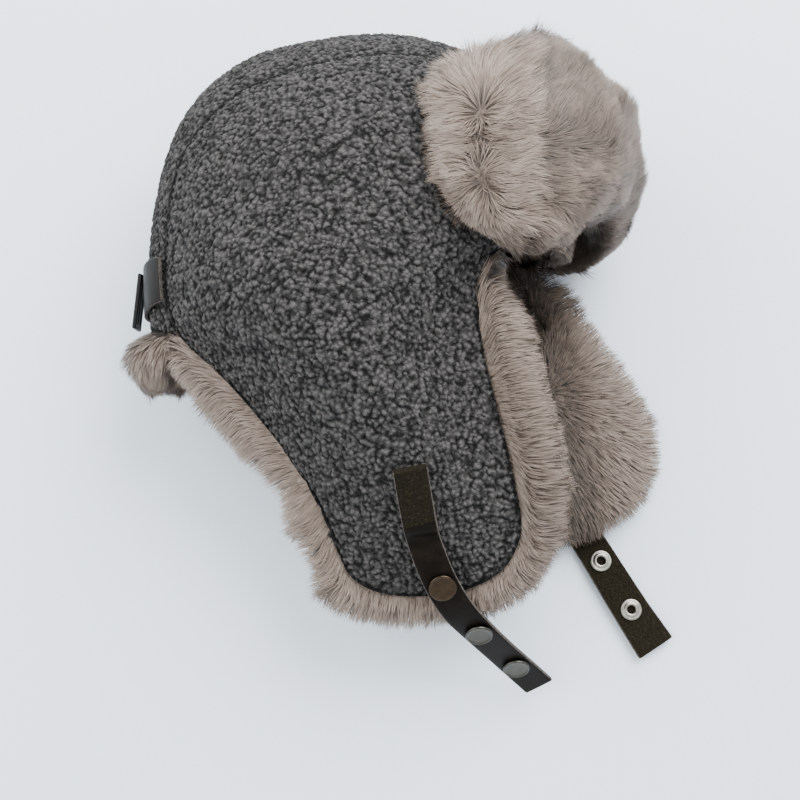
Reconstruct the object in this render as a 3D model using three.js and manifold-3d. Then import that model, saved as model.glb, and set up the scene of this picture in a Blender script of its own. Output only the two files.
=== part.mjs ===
// Trapper hat with ear flaps, lying on its left side: curly sherpa outside, a long pile fur
// lining that rolls out round the flaps and the nape, and a thick fur flap turned up in front.
// Millimetres. X points where the wearer looks, Y to the top of the crown, Z up from the
// surface that the hat lies on. The wearer's right side is on top.

import * as THREE from "three";
import { mergeVertices } from "three/addons/utils/BufferGeometryUtils.js";
import Module from "manifold-3d";

const wasm = await Module();
wasm.setup();

// Driving dimensions
const SHERPA_WALL = 3.0;          // sherpa cloth with its curls
const GAP = 0.3;                  // clearance between neighbouring pieces
const SEAM_GAP = 0.5;             // groove between two sewn panels
const ROLL_CLEARANCE = 0.6;       // under the cloth, where the fur roll is sewn on
const LINING_CLEARANCE = 1.1;     // under the cloth, where the coarser lining lies
const STRAP_CLEARANCE = 0.9;      // over the cloth's facets
const EDGE_CLEARANCE = 0.4;       // past a panel's edges
const PILE = 11.0;                // fur lining on the inside of a flap
const LEATHER = 2.2;              // strap leather
const RIGHT_STRAP_WIDTH = 18.0;
const SNAP_DIAMETER = 15.0;       // snap cap
const SNAP_HEIGHT = 2.4;
const SNAP_SIDES = 14;
const SOCKET_DIAMETER = 12.6;     // inner half of a snap
const SOCKET_HOLE = 4.8;
const SOCKET_HEIGHT = 1.8;
const BACK_STRAP_WIDTH = 24.0;
const SLIDER_WIDTH = 13.0;        // rear slider along its strap
const SLIDER_BAR = 2.8;
const SLIDER_TIP = 8.0;           // degrees that its lower end stands off
const SLIDER_DROP = 3.0;          // it hangs lower than the strap's middle
const SLIDER_STAND_OFF = 3.0;     // its middle over the strap's face

// Grid of a side panel: levels from the crown down to the flap, columns from back to front
const LEVELS = 18;
const COLUMNS = 14;
const BROW_LEVEL = 6;             // the front seam ends here
const TEMPLE_LEVEL = 7;           // the fur roll starts here
const NAPE_LEVEL = 9;             // the back seam ends here
const LINING_LEVEL = 10;          // the fur lining starts here
const ARCH_STEPS = 7;             // steps across the centre panel
const FALL_WIDTH = 0.13;          // share of the left panel over which it falls to the surface
const FLAP_LIFT = 4.6;            // the left flap lies on its strap

const CHARCOAL = 0x5c5b5e;
const TAUPE = 0xa59689;
const LEATHER_BLACK = 0x2a2725;
const GUNMETAL = 0x85847f;
const BRONZE = 0x6e5d45;
const SILVER = 0xb9b4aa;
const SLIDER_BLACK = 0x17171a;

// Right side panel, a row for each level: its back edge and its front edge. The edges are
// the seam with the centre panel at first, then the free edge of the ear flap
const rightLevels = [
  { backX: -84, backY: 154, backZ: 109, frontX: 50, frontY: 155, frontZ: 111 },
  { backX: -108, backY: 135, backZ: 106, frontX: 70, frontY: 139, frontZ: 110 },
  { backX: -123, backY: 110, backZ: 101, frontX: 78, frontY: 116, frontZ: 108 },
  { backX: -128, backY: 84, backZ: 96, frontX: 78, frontY: 92, frontZ: 105 },
  { backX: -129, backY: 60, backZ: 92, frontX: 70, frontY: 68, frontZ: 105 },
  { backX: -128, backY: 38, backZ: 88, frontX: 50, frontY: 57, frontZ: 113 },
  { backX: -122, backY: 17, backZ: 85, frontX: 41, frontY: 36, frontZ: 116 },
  { backX: -102, backY: 0, backZ: 86, frontX: 42, frontY: 14, frontZ: 114 },
  { backX: -84, backY: -19, backZ: 86, frontX: 46, frontY: -8, frontZ: 110 },
  { backX: -66, backY: -41, backZ: 83, frontX: 52, frontY: -31, frontZ: 105 },
  { backX: -52, backY: -60, backZ: 79, frontX: 58, frontY: -54, frontZ: 98 },
  { backX: -42, backY: -78, backZ: 75, frontX: 63, frontY: -74, frontZ: 89 },
  { backX: -35, backY: -95, backZ: 70, frontX: 65, frontY: -90, frontZ: 80 },
];
const rightTop = [
  { x: -84, y: 154, z: 109 },
  { x: -45, y: 167, z: 110 },
  { x: -5, y: 172, z: 111 },
  { x: 26, y: 168, z: 111 },
  { x: 50, y: 155, z: 111 },
];
const rightEnd = [
  { x: -35, y: -95, z: 70 },
  { x: -28, y: -111, z: 65 },
  { x: -12, y: -120, z: 61 },
  { x: 12, y: -122, z: 60 },
  { x: 38, y: -118, z: 64 },
  { x: 57, y: -107, z: 71 },
  { x: 65, y: -90, z: 80 },
];

// Left side panel, same columns. It lies on the surface, a little further forward
const leftLevels = [
  { backX: -88, backY: 166, backZ: 31, frontX: 56, frontY: 168, frontZ: 32 },
  { backX: -115, backY: 142, backZ: 30, frontX: 80, frontY: 146, frontZ: 30 },
  { backX: -128, backY: 112, backZ: 29, frontX: 91, frontY: 120, frontZ: 28 },
  { backX: -133, backY: 84, backZ: 28, frontX: 92, frontY: 98, frontZ: 26 },
  { backX: -134, backY: 60, backZ: 28, frontX: 86, frontY: 82, frontZ: 22 },
  { backX: -132, backY: 38, backZ: 27, frontX: 81, frontY: 67, frontZ: 9 },
  { backX: -124, backY: 17, backZ: 20, frontX: 90, frontY: 50, frontZ: 4.6 },
  { backX: -98, backY: 9, backZ: 10, frontX: 101, frontY: 33, frontZ: 4.6 },
  { backX: -70, backY: 2, backZ: 6, frontX: 111, frontY: 17, frontZ: 4.6 },
  { backX: -44, backY: -8, backZ: 5, frontX: 121, frontY: 1, frontZ: 4.6 },
  { backX: -20, backY: -21, backZ: 4.6, frontX: 130, frontY: -13, frontZ: 4.6 },
  { backX: 1, backY: -37, backZ: 4.6, frontX: 134, frontY: -27, frontZ: 4.6 },
  { backX: 18, backY: -54, backZ: 4.6, frontX: 134, frontY: -44, frontZ: 4.6 },
];
const leftTop = [
  { x: -88, y: 166, z: 31 },
  { x: -46, y: 181, z: 32 },
  { x: -4, y: 186, z: 32 },
  { x: 28, y: 182, z: 32 },
  { x: 56, y: 168, z: 32 },
];
const leftEnd = [
  { x: 18, y: -54, z: 4.6 },
  { x: 34, y: -67, z: 4.6 },
  { x: 60, y: -74, z: 4.6 },
  { x: 94, y: -70, z: 4.6 },
  { x: 121, y: -59, z: 4.6 },
  { x: 134, y: -44, z: 4.6 },
];

// Middle line of the centre panel, from the brow over the crown to the nape
const crownLine = [
  { x: 95, y: 70, z: 66 },
  { x: 101, y: 100, z: 68 },
  { x: 95, y: 142, z: 70 },
  { x: 66, y: 177, z: 72 },
  { x: 6, y: 202, z: 73 },
  { x: -52, y: 199, z: 73 },
  { x: -98, y: 184, z: 72 },
  { x: -126, y: 153, z: 70 },
  { x: -138, y: 114, z: 68 },
  { x: -143, y: 68, z: 66 },
  { x: -141, y: 24, z: 62 },
];

// Height of the right panel's dome over its edges, level by level
const rightDome = [0, 22, 38, 48, 52, 51, 48, 43, 36, 28, 20, 12, 5];

// Fur roll along the free edge, from the right temple round the flap and the nape to the left
// temple: reach past the edge, crest above the cloth, depth below it
const furRoll = [
  { reach: 19, crest: 1.5, depth: 17 },
  { reach: 25, crest: 2.6, depth: 20 },
  { reach: 26, crest: 2.6, depth: 21 },
  { reach: 22, crest: 2.4, depth: 21 },
  { reach: 20, crest: 2.0, depth: 21 },
  { reach: 20, crest: 2.0, depth: 21 },
  { reach: 24, crest: 2.4, depth: 21 },
  { reach: 25, crest: 2.6, depth: 20 },
  { reach: 24, crest: 5.0, depth: 18 },
  { reach: 35, crest: 17, depth: 17 },
  { reach: 25, crest: 5.0, depth: 16 },
  { reach: 20, crest: 0.6, depth: 15 },
  { reach: 20, crest: 0.6, depth: 15 },
  { reach: 20, crest: 0.6, depth: 15 },
  { reach: 20, crest: 0.6, depth: 15 },
  { reach: 20, crest: 0.6, depth: 15 },
  { reach: 20, crest: 0.6, depth: 15 },
  { reach: 21, crest: 0.6, depth: 15 },
  { reach: 15, crest: 0.6, depth: 13 },
];

// Turned up front flap, a row for each section from its right end to its left end: lower and
// upper edge, bow of the section away from the crown, and swell, half its thickness
const frontFlap = [
  { lowX: 22, lowY: 78, topX: 16, topY: 140, z: 137, bow: 2, swell: 8 },
  { lowX: 40, lowY: 56, topX: 33, topY: 152, z: 141, bow: 3, swell: 17 },
  { lowX: 70, lowY: 42, topX: 62, topY: 168, z: 136, bow: 6, swell: 20 },
  { lowX: 95, lowY: 66, topX: 78, topY: 178, z: 114, bow: 12, swell: 20 },
  { lowX: 113, lowY: 83, topX: 84, topY: 180, z: 86, bow: 16, swell: 19 },
  { lowX: 122, lowY: 78, topX: 88, topY: 170, z: 55, bow: 15, swell: 19 },
  { lowX: 114, lowY: 72, topX: 93, topY: 157, z: 31, bow: 12, swell: 16 },
  { lowX: 84, lowY: 71, topX: 95, topY: 142, z: 21, bow: 10, swell: 10 },
];

// The front flap's locks: turn round it from root to tip in radians, sunk root and tip's lift
const LOCK_TURN = 0.6;
const LOCK_ROOT = 2;
const LOCK_LIFT = 2.4;

// Right strap on the flap: where its sewn square begins and ends, and where it leaves the cloth
const rightStrapSewn = [
  { x: 4.8, y: -57.5, layers: 2 },
  { x: 7.6, y: -70.5, layers: 2 },
  { x: 11, y: -86, layers: 2 },
  { x: 11.8, y: -89.5, layers: 1 },
  { x: 13, y: -93, layers: 1 },
];
// Right strap past the flap: it crosses the fur and drops to the surface
const rightStrapFall = [
  { x: 16, y: -103, z: 82, acrossX: 0.93, acrossY: 0.3, acrossZ: 0.1 },
  { x: 22, y: -116, z: 76, acrossX: 0.9, acrossY: 0.38, acrossZ: 0.15 },
  { x: 31, y: -129, z: 66, acrossX: 0.84, acrossY: 0.42, acrossZ: 0.3 },
  { x: 43, y: -140, z: 52, acrossX: 0.8, acrossY: 0.36, acrossZ: 0.45 },
  { x: 55, y: -150, z: 38, acrossX: 0.8, acrossY: 0.34, acrossZ: 0.5 },
  { x: 67, y: -159.5, z: 24, acrossX: 0.84, acrossY: 0.34, acrossZ: 0.4 },
  { x: 80, y: -170, z: 11, acrossX: 0.95, acrossY: 0.2, acrossZ: 0.2 },
];

// Left strap, inner side up, from its root under the flap to its free end
const leftStrapRun = [
  { x: 86, y: -40, z: 1.5, width: 19 },
  { x: 98, y: -62, z: 1.5, width: 19 },
  { x: 108, y: -80, z: 2.6, width: 19.5 },
  { x: 118, y: -97, z: 4.3, width: 20 },
  { x: 135, y: -126, z: 4.3, width: 21.5 },
  { x: 149.5, y: -149, z: 4.3, width: 23.5 },
];

function pointOf(row) {
  return new THREE.Vector3(row.x, row.y, row.z);
}

function curveOf(points) {
  const curve = new THREE.CatmullRomCurve3(points, false, "centripetal");
  curve.arcLengthDivisions = 300;
  return curve;
}

// Value of a column of an evenly spaced table at t from 0 to 1, eased between its rows
function along(values, t) {
  const place = Math.min(Math.max(t, 0), 1) * (values.length - 1);
  const low = Math.min(Math.floor(place), values.length - 2);
  const part = place - low;
  return values[low] + (values[low + 1] - values[low]) * part * part * (3 - 2 * part);
}

function smoothStep(edge0, edge1, x) {
  const t = Math.min(Math.max((x - edge0) / (edge1 - edge0), 0), 1);
  return t * t * (3 - 2 * t);
}

// A side panel spans its back edge, front edge, top and flap end; s runs back to front,
// t from the top down
function patchOf(levels, top, end) {
  const backCurve = curveOf(levels.map((row) => new THREE.Vector3(row.backX, row.backY, row.backZ)));
  const frontCurve = curveOf(levels.map((row) => new THREE.Vector3(row.frontX, row.frontY, row.frontZ)));
  const topCurve = curveOf(top.map(pointOf));
  const endCurve = curveOf(end.map(pointOf));
  return (s, t) => {
    const point = backCurve.getPoint(t).lerp(frontCurve.getPoint(t), s);
    point.add(topCurve.getPointAt(s).lerp(endCurve.getPointAt(s), t));
    const upper = topCurve.getPoint(0).lerp(topCurve.getPoint(1), s);
    const lower = endCurve.getPoint(0).lerp(endCurve.getPoint(1), s);
    return point.sub(upper.lerp(lower, t));
  };
}

const rightPatch = patchOf(rightLevels, rightTop, rightEnd);
const leftPatch = patchOf(leftLevels, leftTop, leftEnd);

// Right side panel: domed over the crown, flatter along the ear flap
function rightSurface(s, t) {
  const point = rightPatch(s, t);
  const roundness = 0.85 + 1.15 * smoothStep(0.42, 0.6, t);
  const across = Math.pow(Math.sin(Math.PI * Math.min(Math.max(s, 0), 1)), roundness);
  const down = 1 - Math.pow(Math.min(Math.max(t, 0), 1), 9);
  point.z += along(rightDome, t) * across * down;
  return point;
}

// Left side panel: falls from its seam to the surface and lies flat, with the flap lifted
// by the strap under it
function leftSurface(s, t) {
  const point = leftPatch(s, t);
  const fall = (distance) => Math.pow(Math.max(1 - distance / FALL_WIDTH, 0), 2.2);
  const edge = Math.max(fall(s), fall(1 - s), fall(t));
  const lift = FLAP_LIFT * smoothStep(0.5, 0.72, t);
  point.z = Math.max(point.z * edge, lift);
  return point;
}

// Unit normal of a surface of two parameters, on the side that facing names. It is taken
// just inside the edges, because the patches' corners lie on smooth outlines
function normalOf(surface, a, b, facing) {
  const margin = 0.03;
  const step = 0.01;
  const p = Math.min(Math.max(a, margin), 1 - margin);
  const q = Math.min(Math.max(b, margin), 1 - margin);
  const alongA = surface(p + step, q).sub(surface(p - step, q));
  const alongB = surface(p, q + step).sub(surface(p, q - step));
  return alongA.cross(alongB).normalize().multiplyScalar(facing);
}
const rightNormal = (s, t) => normalOf(rightSurface, s, t, -1);
const leftNormal = (s, t) => normalOf(leftSurface, s, t, 1);

// Stations of a side panel's seam, from the brow over the crown to the nape
const seamStations = [];
for (let i = BROW_LEVEL; i >= 0; i -= 1) seamStations.push({ s: 1, t: i / LEVELS });
for (let j = COLUMNS - 1; j >= 0; j -= 1) seamStations.push({ s: j / COLUMNS, t: 0 });
for (let i = 1; i <= NAPE_LEVEL; i += 1) seamStations.push({ s: 0, t: i / LEVELS });
const SEAM_STEPS = seamStations.length - 1;

// Share of the seam's length at each station
function seamShares(surface) {
  const shares = [0];
  for (let k = 1; k <= SEAM_STEPS; k += 1) {
    const here = surface(seamStations[k].s, seamStations[k].t);
    const before = surface(seamStations[k - 1].s, seamStations[k - 1].t);
    shares.push(shares[k - 1] + here.distanceTo(before));
  }
  return shares.map((length) => length / shares[SEAM_STEPS]);
}
const rightShares = seamShares(rightSurface);
const leftShares = seamShares(leftSurface);
const crownCurve = curveOf(crownLine.map(pointOf));

// Centre panel: at each seam station an arch from the right seam over the crown line to the
// left seam
function archPoint(k, v) {
  const right = rightSurface(seamStations[k].s, seamStations[k].t);
  const left = leftSurface(seamStations[k].s, seamStations[k].t);
  const crown = crownCurve.getPointAt((rightShares[k] + leftShares[k]) / 2);
  const control = crown.multiplyScalar(2).sub(right.clone().add(left).multiplyScalar(0.5));
  const point = right.multiplyScalar((1 - v) * (1 - v));
  point.addScaledVector(control, 2 * v * (1 - v));
  return point.addScaledVector(left, v * v);
}

function archNormal(k, v) {
  const before = Math.max(k - 1, 0);
  const after = Math.min(k + 1, SEAM_STEPS);
  const alongSeam = archPoint(after, v).sub(archPoint(before, v));
  const low = Math.max(v - 0.02, 0);
  const acrossStrip = archPoint(k, low + 0.04).sub(archPoint(k, low));
  return acrossStrip.cross(alongSeam).normalize();
}

// Normals of the two walls that meet at a seam are shared, so that the walls meet in a mitre
function seamNormal(k, side) {
  const { s, t } = seamStations[k];
  const panelNormal = side === "right" ? rightNormal(s, t) : leftNormal(s, t);
  return panelNormal.add(archNormal(k, side === "right" ? 0 : 1)).normalize();
}

function signedVolume(points, faces) {
  let sum = 0;
  for (const [a, b, c] of faces) sum += points[a].dot(points[b].clone().cross(points[c]));
  return sum / 6;
}

// Closed solid from points and faces, turned so that its faces point out
function closedGeometry(points, faces) {
  const inverted = signedVolume(points, faces) < 0;
  const turned = inverted ? faces.map(([a, b, c]) => [a, c, b]) : faces;
  const geometry = new THREE.BufferGeometry();
  const numbers = points.flatMap((point) => point.toArray());
  geometry.setAttribute("position", new THREE.Float32BufferAttribute(numbers, 3));
  geometry.setIndex(turned.flat());
  geometry.computeVertexNormals();
  return geometry;
}

// Two like grids of points, an outer and an inner one, joined round their edge into one wall
function wallGeometry(outer, inner) {
  const rows = outer.length;
  const columns = outer[0].length;
  const points = [...outer.flat(), ...inner.flat()];
  const shift = rows * columns;
  const at = (i, j) => i * columns + j;
  const faces = [];
  for (let i = 0; i < rows - 1; i += 1) {
    for (let j = 0; j < columns - 1; j += 1) {
      const [a, b, c, d] = [at(i, j), at(i + 1, j), at(i + 1, j + 1), at(i, j + 1)];
      faces.push([a, b, c], [a, c, d]);
      faces.push([a + shift, c + shift, b + shift], [a + shift, d + shift, c + shift]);
    }
  }
  const rim = [];
  for (let i = 0; i < rows - 1; i += 1) rim.push(at(i, 0));
  for (let j = 0; j < columns - 1; j += 1) rim.push(at(rows - 1, j));
  for (let i = rows - 1; i > 0; i -= 1) rim.push(at(i, columns - 1));
  for (let j = columns - 1; j > 0; j -= 1) rim.push(at(0, j));
  rim.forEach((a, index) => {
    const b = rim[(index + 1) % rim.length];
    faces.push([b, a, a + shift], [b, a + shift, b + shift]);
  });
  return closedGeometry(points, faces);
}

// Closed loops of points with the same count, joined one after the other and capped at the ends
function loftGeometry(loops) {
  const count = loops[0].length;
  const points = loops.flat();
  const faces = [];
  for (let i = 0; i < loops.length - 1; i += 1) {
    for (let j = 0; j < count; j += 1) {
      const next = (j + 1) % count;
      const [a, b] = [i * count + j, (i + 1) * count + j];
      const [c, d] = [(i + 1) * count + next, i * count + next];
      faces.push([a, b, c], [a, c, d]);
    }
  }
  for (const [start, flip] of [[0, false], [(loops.length - 1) * count, true]]) {
    const middle = new THREE.Vector3();
    for (let j = 0; j < count; j += 1) middle.add(points[start + j]);
    points.push(middle.divideScalar(count));
    for (let j = 0; j < count; j += 1) {
      const a = start + j;
      const b = start + ((j + 1) % count);
      faces.push(flip ? [b, a, points.length - 1] : [a, b, points.length - 1]);
    }
  }
  return closedGeometry(points, faces);
}

function gridOf(firstRow, lastRow, columns, pointAt) {
  const grid = [];
  for (let i = firstRow; i <= lastRow; i += 1) {
    const line = [];
    for (let j = 0; j <= columns; j += 1) line.push(pointAt(i, j));
    grid.push(line);
  }
  return grid;
}

function solidOf(geometry) {
  const mesh = new wasm.Mesh({
    numProp: 3,
    vertProperties: new Float32Array(geometry.getAttribute("position").array),
    triVerts: new Uint32Array(geometry.getIndex().array),
  });
  return new wasm.Manifold(mesh);
}

function geometryOf(solid) {
  const mesh = solid.getMesh();
  const geometry = new THREE.BufferGeometry();
  geometry.setAttribute("position", new THREE.Float32BufferAttribute(mesh.vertProperties, 3));
  geometry.setIndex(Array.from(mesh.triVerts));
  geometry.computeVertexNormals();
  return geometry;
}

function fuse(geometries) {
  return geometryOf(wasm.Manifold.union(geometries.map(solidOf)));
}

const group = new THREE.Group();

function addPiece(name, geometry, color, roughness, metalness = 0) {
  const material = new THREE.MeshStandardMaterial({ color, roughness, metalness });
  const mesh = new THREE.Mesh(geometry, material);
  mesh.name = name;
  group.add(mesh);
  return mesh;
}

// Sherpa side panel: outer grid on the surface, inner grid a wall's thickness inside it
function sidePanelGeometry(surface, normal, side) {
  const seamAt = new Map(seamStations.map(({ s, t }, k) => [`${s},${t}`, k]));
  const outer = gridOf(0, LEVELS, COLUMNS, (i, j) => surface(j / COLUMNS, i / LEVELS));
  const inner = gridOf(0, LEVELS, COLUMNS, (i, j) => {
    const s = j / COLUMNS;
    const t = i / LEVELS;
    const k = seamAt.get(`${s},${t}`);
    const inward = k === undefined ? normal(s, t) : seamNormal(k, side);
    return surface(s, t).addScaledVector(inward, -SHERPA_WALL);
  });
  return wallGeometry(outer, inner);
}
addPiece("right_side_panel", sidePanelGeometry(rightSurface, rightNormal, "right"), CHARCOAL, 0.95);
addPiece("left_side_panel", sidePanelGeometry(leftSurface, leftNormal, "left"), CHARCOAL, 0.95);

// Sherpa centre panel, clear of both side panels by the seam's groove
function centrePanelGeometry() {
  const spread = (k, j) => {
    const span = archPoint(k, 0).distanceTo(archPoint(k, 1));
    const inset = SEAM_GAP / (1.8 * span);
    return inset + ((1 - 2 * inset) * j) / ARCH_STEPS;
  };
  const outer = gridOf(0, SEAM_STEPS, ARCH_STEPS, (k, j) => archPoint(k, spread(k, j)));
  const inner = gridOf(0, SEAM_STEPS, ARCH_STEPS, (k, j) => {
    let inward = archNormal(k, spread(k, j));
    if (j === 0) inward = seamNormal(k, "right");
    if (j === ARCH_STEPS) inward = seamNormal(k, "left");
    return archPoint(k, spread(k, j)).addScaledVector(inward, -SHERPA_WALL);
  });
  return wallGeometry(outer, inner);
}
addPiece("centre_panel", centrePanelGeometry(), CHARCOAL, 0.95);

// A wall as thick as a sherpa panel with the clearance round it, to cut its neighbours with
function clearanceGeometry(firstRow, lastRow, columns, pointAt, normalAt) {
  const inside = (value, last) => Math.min(Math.max(value, 1), last - 1);
  const place = (height) => (i, j) => {
    const point = pointAt(i, j);
    const inward = pointAt(inside(i, lastRow), inside(j, columns));
    const outwards = point.clone().sub(inward);
    if (outwards.length() > 0.01) point.addScaledVector(outwards.normalize(), EDGE_CLEARANCE);
    return point.addScaledVector(normalAt(i, j), height);
  };
  return wallGeometry(
    gridOf(firstRow, lastRow, columns, place(GAP)),
    gridOf(firstRow, lastRow, columns, place(-SHERPA_WALL - GAP)),
  );
}
const sideClearance = (surface, normal) => clearanceGeometry(
  0,
  LEVELS,
  COLUMNS,
  (i, j) => surface(j / COLUMNS, i / LEVELS),
  (i, j) => normal(j / COLUMNS, i / LEVELS),
);
const clearances = [
  sideClearance(rightSurface, rightNormal),
  sideClearance(leftSurface, leftNormal),
  clearanceGeometry(
    0,
    SEAM_STEPS,
    ARCH_STEPS,
    (k, j) => archPoint(k, j / ARCH_STEPS),
    (k, j) => archNormal(k, j / ARCH_STEPS),
  ),
];

// Cuts the clearance solids out of a piece and keeps its main body
function cutClear(geometry, cutters) {
  let solid = solidOf(geometry);
  for (const cutter of cutters) solid = solid.subtract(solidOf(cutter));
  const bodies = solid.decompose();
  bodies.sort((a, b) => b.volume() - a.volume());
  return geometryOf(bodies[0]);
}

// Stations of the whole free edge: right temple, right flap, nape, left flap, left temple
function flapEdge(surface, normal) {
  const stations = [];
  const push = (i, j) => {
    const s = j / COLUMNS;
    const t = i / LEVELS;
    stations.push({ point: surface(s, t), out: normal(s, t) });
  };
  for (let i = TEMPLE_LEVEL; i < LEVELS; i += 1) push(i, COLUMNS);
  for (let j = COLUMNS; j >= 0; j -= 1) push(LEVELS, j);
  for (let i = LEVELS - 1; i >= NAPE_LEVEL; i -= 1) push(i, 0);
  return stations;
}
const rightEdge = flapEdge(rightSurface, rightNormal);
const leftEdge = flapEdge(leftSurface, leftNormal).reverse();
const napeEdge = [];
const NAPE_STEPS = 8;
for (let j = 1; j < NAPE_STEPS; j += 1) {
  const v = j / NAPE_STEPS;
  napeEdge.push({ point: archPoint(SEAM_STEPS, v), out: archNormal(SEAM_STEPS, v) });
}
const freeEdge = [...rightEdge, ...napeEdge, ...leftEdge];
freeEdge.forEach((station, index) => {
  const before = freeEdge[Math.max(index - 1, 0)].point;
  const after = freeEdge[Math.min(index + 1, freeEdge.length - 1)].point;
  station.ahead = after.clone().sub(before).normalize();
  station.away = station.out.clone().cross(station.ahead).normalize();
  const share = index / (freeEdge.length - 1);
  for (const name of ["reach", "crest", "depth"]) {
    station[name] = along(furRoll.map((row) => row[name]), share);
  }
});

// Round section of the fur roll at a station, moved ahead along the edge by shift
function rollLoop(station, shift) {
  const { reach, crest, depth } = station;
  const under = SHERPA_WALL + ROLL_CLEARANCE;
  const corners = [
    [-4, -under],
    [0.7, -under],
    [1.0, crest * 0.4],
    [reach * 0.35, crest],
    [reach * 0.76, crest * 0.5 - 1],
    [reach * 0.97, -depth * 0.38],
    [reach * 0.72, -depth * 0.8],
    [reach * 0.2, -depth],
    [-6, -depth * 0.86],
  ];
  return corners.map(([s, h]) => station.point.clone()
    .addScaledVector(station.away, s)
    .addScaledVector(station.out, h)
    .addScaledVector(station.ahead, shift));
}

// One lock of fur: a flat tongue from a root sunk in the backing, narrowing to a blunt tip
function lockGeometry(root, direction, face, length, width, thickness) {
  const ahead = direction.clone().normalize();
  const across = new THREE.Vector3().crossVectors(ahead, face).normalize();
  const out = new THREE.Vector3().crossVectors(across, ahead).normalize();
  const corner = (forward, sideways, up) => root.clone()
    .addScaledVector(ahead, forward * length)
    .addScaledVector(across, sideways * width)
    .addScaledVector(out, up * thickness);
  return loftGeometry([
    [corner(0, 0.5, -0.2), corner(0, 0, 0.5), corner(0, -0.5, -0.2)],
    [corner(0.55, 0.42, -0.2), corner(0.55, 0, 0.42), corner(0.55, -0.42, -0.2)],
    [corner(1, 0.14, -0.16), corner(1, 0, 0), corner(1, -0.14, -0.16)],
  ]);
}

// Locks along a stretch of the roll, every second one lower down
function rollLocks(stations, every) {
  const locks = [];
  for (let index = 1; index < stations.length - 1; index += every) {
    const { point, out, away, ahead, reach, crest, depth } = stations[index];
    const low = (index / every) % 2 === 1;
    const root = point.clone().addScaledVector(away, reach * (low ? 0.5 : 0.3));
    root.addScaledVector(out, low ? -depth * 0.45 : crest - 4);
    const direction = away.clone().addScaledVector(out, low ? -0.1 : -0.3);
    direction.addScaledVector(ahead, 0.25);
    locks.push(lockGeometry(root, direction, out, reach * (low ? 0.62 : 0.8), 20, 9));
  }
  return locks;
}

function rollGeometry(stations, startShift, endShift) {
  const last = stations.length - 1;
  return loftGeometry(stations.map((station, index) => {
    if (index === 0) return rollLoop(station, startShift);
    return rollLoop(station, index === last ? endShift : 0);
  }));
}

// Fur lining on the inside of a flap, on every second line of the panel's grid
function liningGeometry(surface, normal) {
  const place = (depth) => (i, j) => {
    const s = (2 * j) / COLUMNS;
    const t = (LINING_LEVEL + 2 * i) / LEVELS;
    return surface(s, t).addScaledVector(normal(s, t), -depth);
  };
  const under = SHERPA_WALL + LINING_CLEARANCE;
  const rows = (LEVELS - LINING_LEVEL) / 2;
  return wallGeometry(
    gridOf(0, rows, COLUMNS / 2, place(under)),
    gridOf(0, rows, COLUMNS / 2, place(under + PILE)),
  );
}

const rightRoll = freeEdge.slice(0, rightEdge.length);
const leftRoll = freeEdge.slice(freeEdge.length - leftEdge.length);
const napeRoll = freeEdge.slice(rightEdge.length - 1, freeEdge.length - leftEdge.length + 1);
addPiece(
  "right_flap_fur",
  cutClear(fuse([
    liningGeometry(rightSurface, rightNormal),
    rollGeometry(rightRoll, 0, -GAP),
    ...rollLocks(rightRoll, 2),
  ]), clearances),
  TAUPE,
  1,
);
addPiece(
  "left_flap_fur",
  cutClear(fuse([
    liningGeometry(leftSurface, leftNormal),
    rollGeometry(leftRoll, GAP, 0),
    ...rollLocks(leftRoll, 3),
  ]), clearances),
  TAUPE,
  1,
);
addPiece(
  "nape_fur",
  cutClear(fuse([rollGeometry(napeRoll, GAP, -GAP), ...rollLocks(napeRoll, 2)]), clearances),
  TAUPE,
  1,
);

// Front flap: rounded, bowed sections along its length
function frontFlapSection(t) {
  const row = (name) => along(frontFlap.map((entry) => entry[name]), t);
  const low = new THREE.Vector3(row("lowX"), row("lowY"), row("z"));
  const top = new THREE.Vector3(row("topX"), row("topY"), row("z"));
  return { low, top, bow: row("bow"), swell: row("swell") };
}

function frontFlapFrame(t) {
  const here = frontFlapSection(t);
  const step = 0.04;
  const before = frontFlapSection(Math.max(t - step, 0));
  const after = frontFlapSection(Math.min(t + step, 1));
  const ahead = after.low.clone().add(after.top).sub(before.low).sub(before.top).normalize();
  const tall = here.top.clone().sub(here.low);
  const out = new THREE.Vector3().crossVectors(ahead, tall).normalize();
  return { ...here, tall, out };
}

function frontFlapPoint(t, angle) {
  const { low, tall, out, bow, swell } = frontFlapFrame(t);
  const c = Math.cos(angle);
  const s = Math.sin(angle);
  const height = 0.5 + 0.5 * Math.sign(c) * Math.pow(Math.abs(c), 0.85);
  const fullness = 1 - 0.5 * smoothStep(0.5, 1.05, height);
  const round = Math.sign(s) * Math.pow(Math.abs(s), 0.9) * fullness;
  const push = bow * 4 * height * (1 - height) + swell * round;
  return low.clone().addScaledVector(tall, height).addScaledVector(out, push);
}

function frontFlapGeometry() {
  const sides = 12;
  const stations = 14;
  const loops = [];
  for (let i = 0; i <= stations; i += 1) {
    const loop = [];
    for (let j = 0; j < sides; j += 1) {
      loop.push(frontFlapPoint(i / stations, (2 * Math.PI * j) / sides));
    }
    loops.push(loop);
  }
  return loftGeometry(loops);
}

function frontFlapNormal(t, angle) {
  const here = frontFlapPoint(t, angle);
  const ahead = frontFlapPoint(t + 0.02, angle).sub(here);
  const round = frontFlapPoint(t, angle + 0.05).sub(here);
  return ahead.cross(round).normalize();
}

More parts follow.
